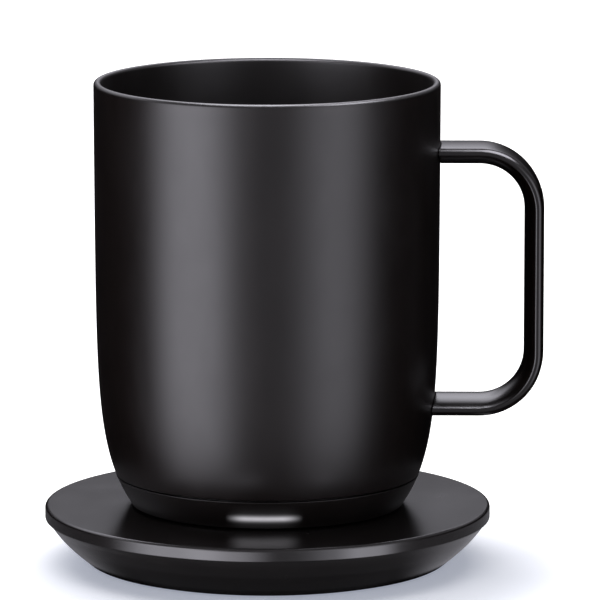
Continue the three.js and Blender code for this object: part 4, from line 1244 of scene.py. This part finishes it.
def wall_strength(n):
    panels = n.sum(
        n.angle_fade(n.maths("ABSOLUTE", n.azimuth), FRONT_HALF, FRONT_GLOW, 0.0),
        *[n.light_about(*panel) for panel in PANELS],
    )
    tall = n.maths("MULTIPLY", n.height_fade(PANEL_FOOT), n.height_fade(PANEL_HEAD, 1.0, 0.0))
    behind = n.maths("SUBTRACT", math.pi, n.maths("ABSOLUTE", n.azimuth))
    window = n.angle_fade(behind, BACK_HALF, BACK_GLOW, 0.0)
    backdrop = n.angle_fade(behind, BACKDROP_HALF, BACKDROP_GLOW, 0.0)
    rise = n.sum(
        n.angle_fade(n.azimuth, RISE_LEFT, RISE_GLOW, 0.0),
        n.angle_fade(n.azimuth, RISE_RIGHT, 0.0, RISE_GLOW),
    )
    return n.sum(
        n.maths("MULTIPLY", panels, tall),
        n.maths("MULTIPLY", window, n.height_fade(BACK_HEIGHTS)),
        n.maths("MULTIPLY", backdrop, n.height_fade(BACKDROP_HEIGHTS)),
        n.maths("MULTIPLY", rise, n.height_fade(RISE_HEIGHTS)),
        n.height_fade(SKY[:2], WALL_GLOW, SKY[2]),
    )


def ceiling_strength(n):
    (near, bright), (far, dim) = CEILING_GLOW
    away = n.distance(*CEILING_CENTRE, WALL_TOP)
    return n.fade(away, (near * MM, far * MM), bright, dim, "LINEAR")


def edge_strength(n):
    return n.sum(*[n.light_about(*light) for light in EDGE_LIGHTS])


def glint_strength(front):
    return lambda n: n.sum(front, *[n.light_about(*light) for light in SIDE_GLINTS])


def near_strength(glow):
    """Light of a small lamp, which fades with the distance to what it lights."""
    span = [reach * MM for reach in TOP_CARD_REACH]
    return lambda n: n.fade(n.light_path("Ray Length"), span, glow, 0.0)


def make_cards():
    """Dark wall with soft panels, the discs below and above, and small clear cards, for reflections only."""

    def card(name, outline, strength, clear=False, steps=CARD_ROUND, centre=(0.0, 0.0)):
        bm = lathe_mesh(outline, steps, centre, closed=False)
        stage_object(name, bm, emission_card(name, strength, clear), glossy=True)

    card("studio_wall", [(WALL_RADIUS, WALL_BOTTOM), (WALL_RADIUS, WALL_TOP)], wall_strength)
    card("studio_pit", [(0, WALL_BOTTOM), (WALL_RADIUS, WALL_BOTTOM)], lambda n: PIT_GLOW)
    card("studio_ceiling", [(0, WALL_TOP), (WALL_RADIUS, WALL_TOP)], ceiling_strength)
    radius, low, high = EDGE_CARD
    card("studio_edge_card", [(radius, low), (radius, high)], edge_strength, clear=True)
    for x, y, radius, glow in TOP_CARDS:
        name = f"studio_top_card_{x:.0f}"
        outline = [(0, TOP_CARD_HEIGHT), (radius, TOP_CARD_HEIGHT)]
        card(name, outline, near_strength(glow), clear=True, steps=TUBE_ROUND, centre=(x, y))
    for radius, next_radius, glow in FLOOR_GLINTS:
        outline = [(radius, GLINT_HEIGHT), (next_radius, GLINT_HEIGHT)]
        card(f"studio_glint_{radius}", outline, glint_strength(glow), clear=True)


def make_lamp():
    light = bpy.data.lights.new("softbox_top", "AREA")
    light.shape = "RECTANGLE"
    light.size = light.size_y = LAMP_SIZE * MM
    light.energy = LAMP_WATTS
    light.color = LAMP_COLOUR
    holder = link_object("softbox_top", light)
    a, e = math.radians(LAMP_AZIMUTH), math.radians(LAMP_ELEVATION)
    away = Vector((math.sin(a) * math.cos(e), -math.cos(a) * math.cos(e), math.sin(e)))
    holder.location = Vector(LAMP_AIM) * MM + away * LAMP_DISTANCE * MM
    holder.rotation_mode = "QUATERNION"
    holder.rotation_quaternion = away.to_track_quat("Z", "Y")
    holder.visible_camera = False
    holder.visible_glossy = False


def make_camera():
    data = bpy.data.cameras.new("camera")
    data.sensor_fit = "HORIZONTAL"
    data.sensor_width = SENSOR_WIDTH
    data.lens = LENS
    data.clip_start, data.clip_end = CLIP
    camera = link_object("camera", data)
    yaw = math.radians(CAMERA_YAW)
    camera.location = (
        (CAMERA_SIDE * math.cos(yaw) + CAMERA_BACK * math.sin(yaw)) * MM,
        (CAMERA_SIDE * math.sin(yaw) - CAMERA_BACK * math.cos(yaw)) * MM,
        CAMERA_HIGH * MM,
    )
    camera.rotation_euler = (math.radians(90 - CAMERA_DIP), 0, yaw)
    bpy.context.scene.camera = camera


make_world()
make_floor()
make_cards()
make_lamp()
make_camera()

bpy.context.scene.view_settings.view_transform = "Standard"
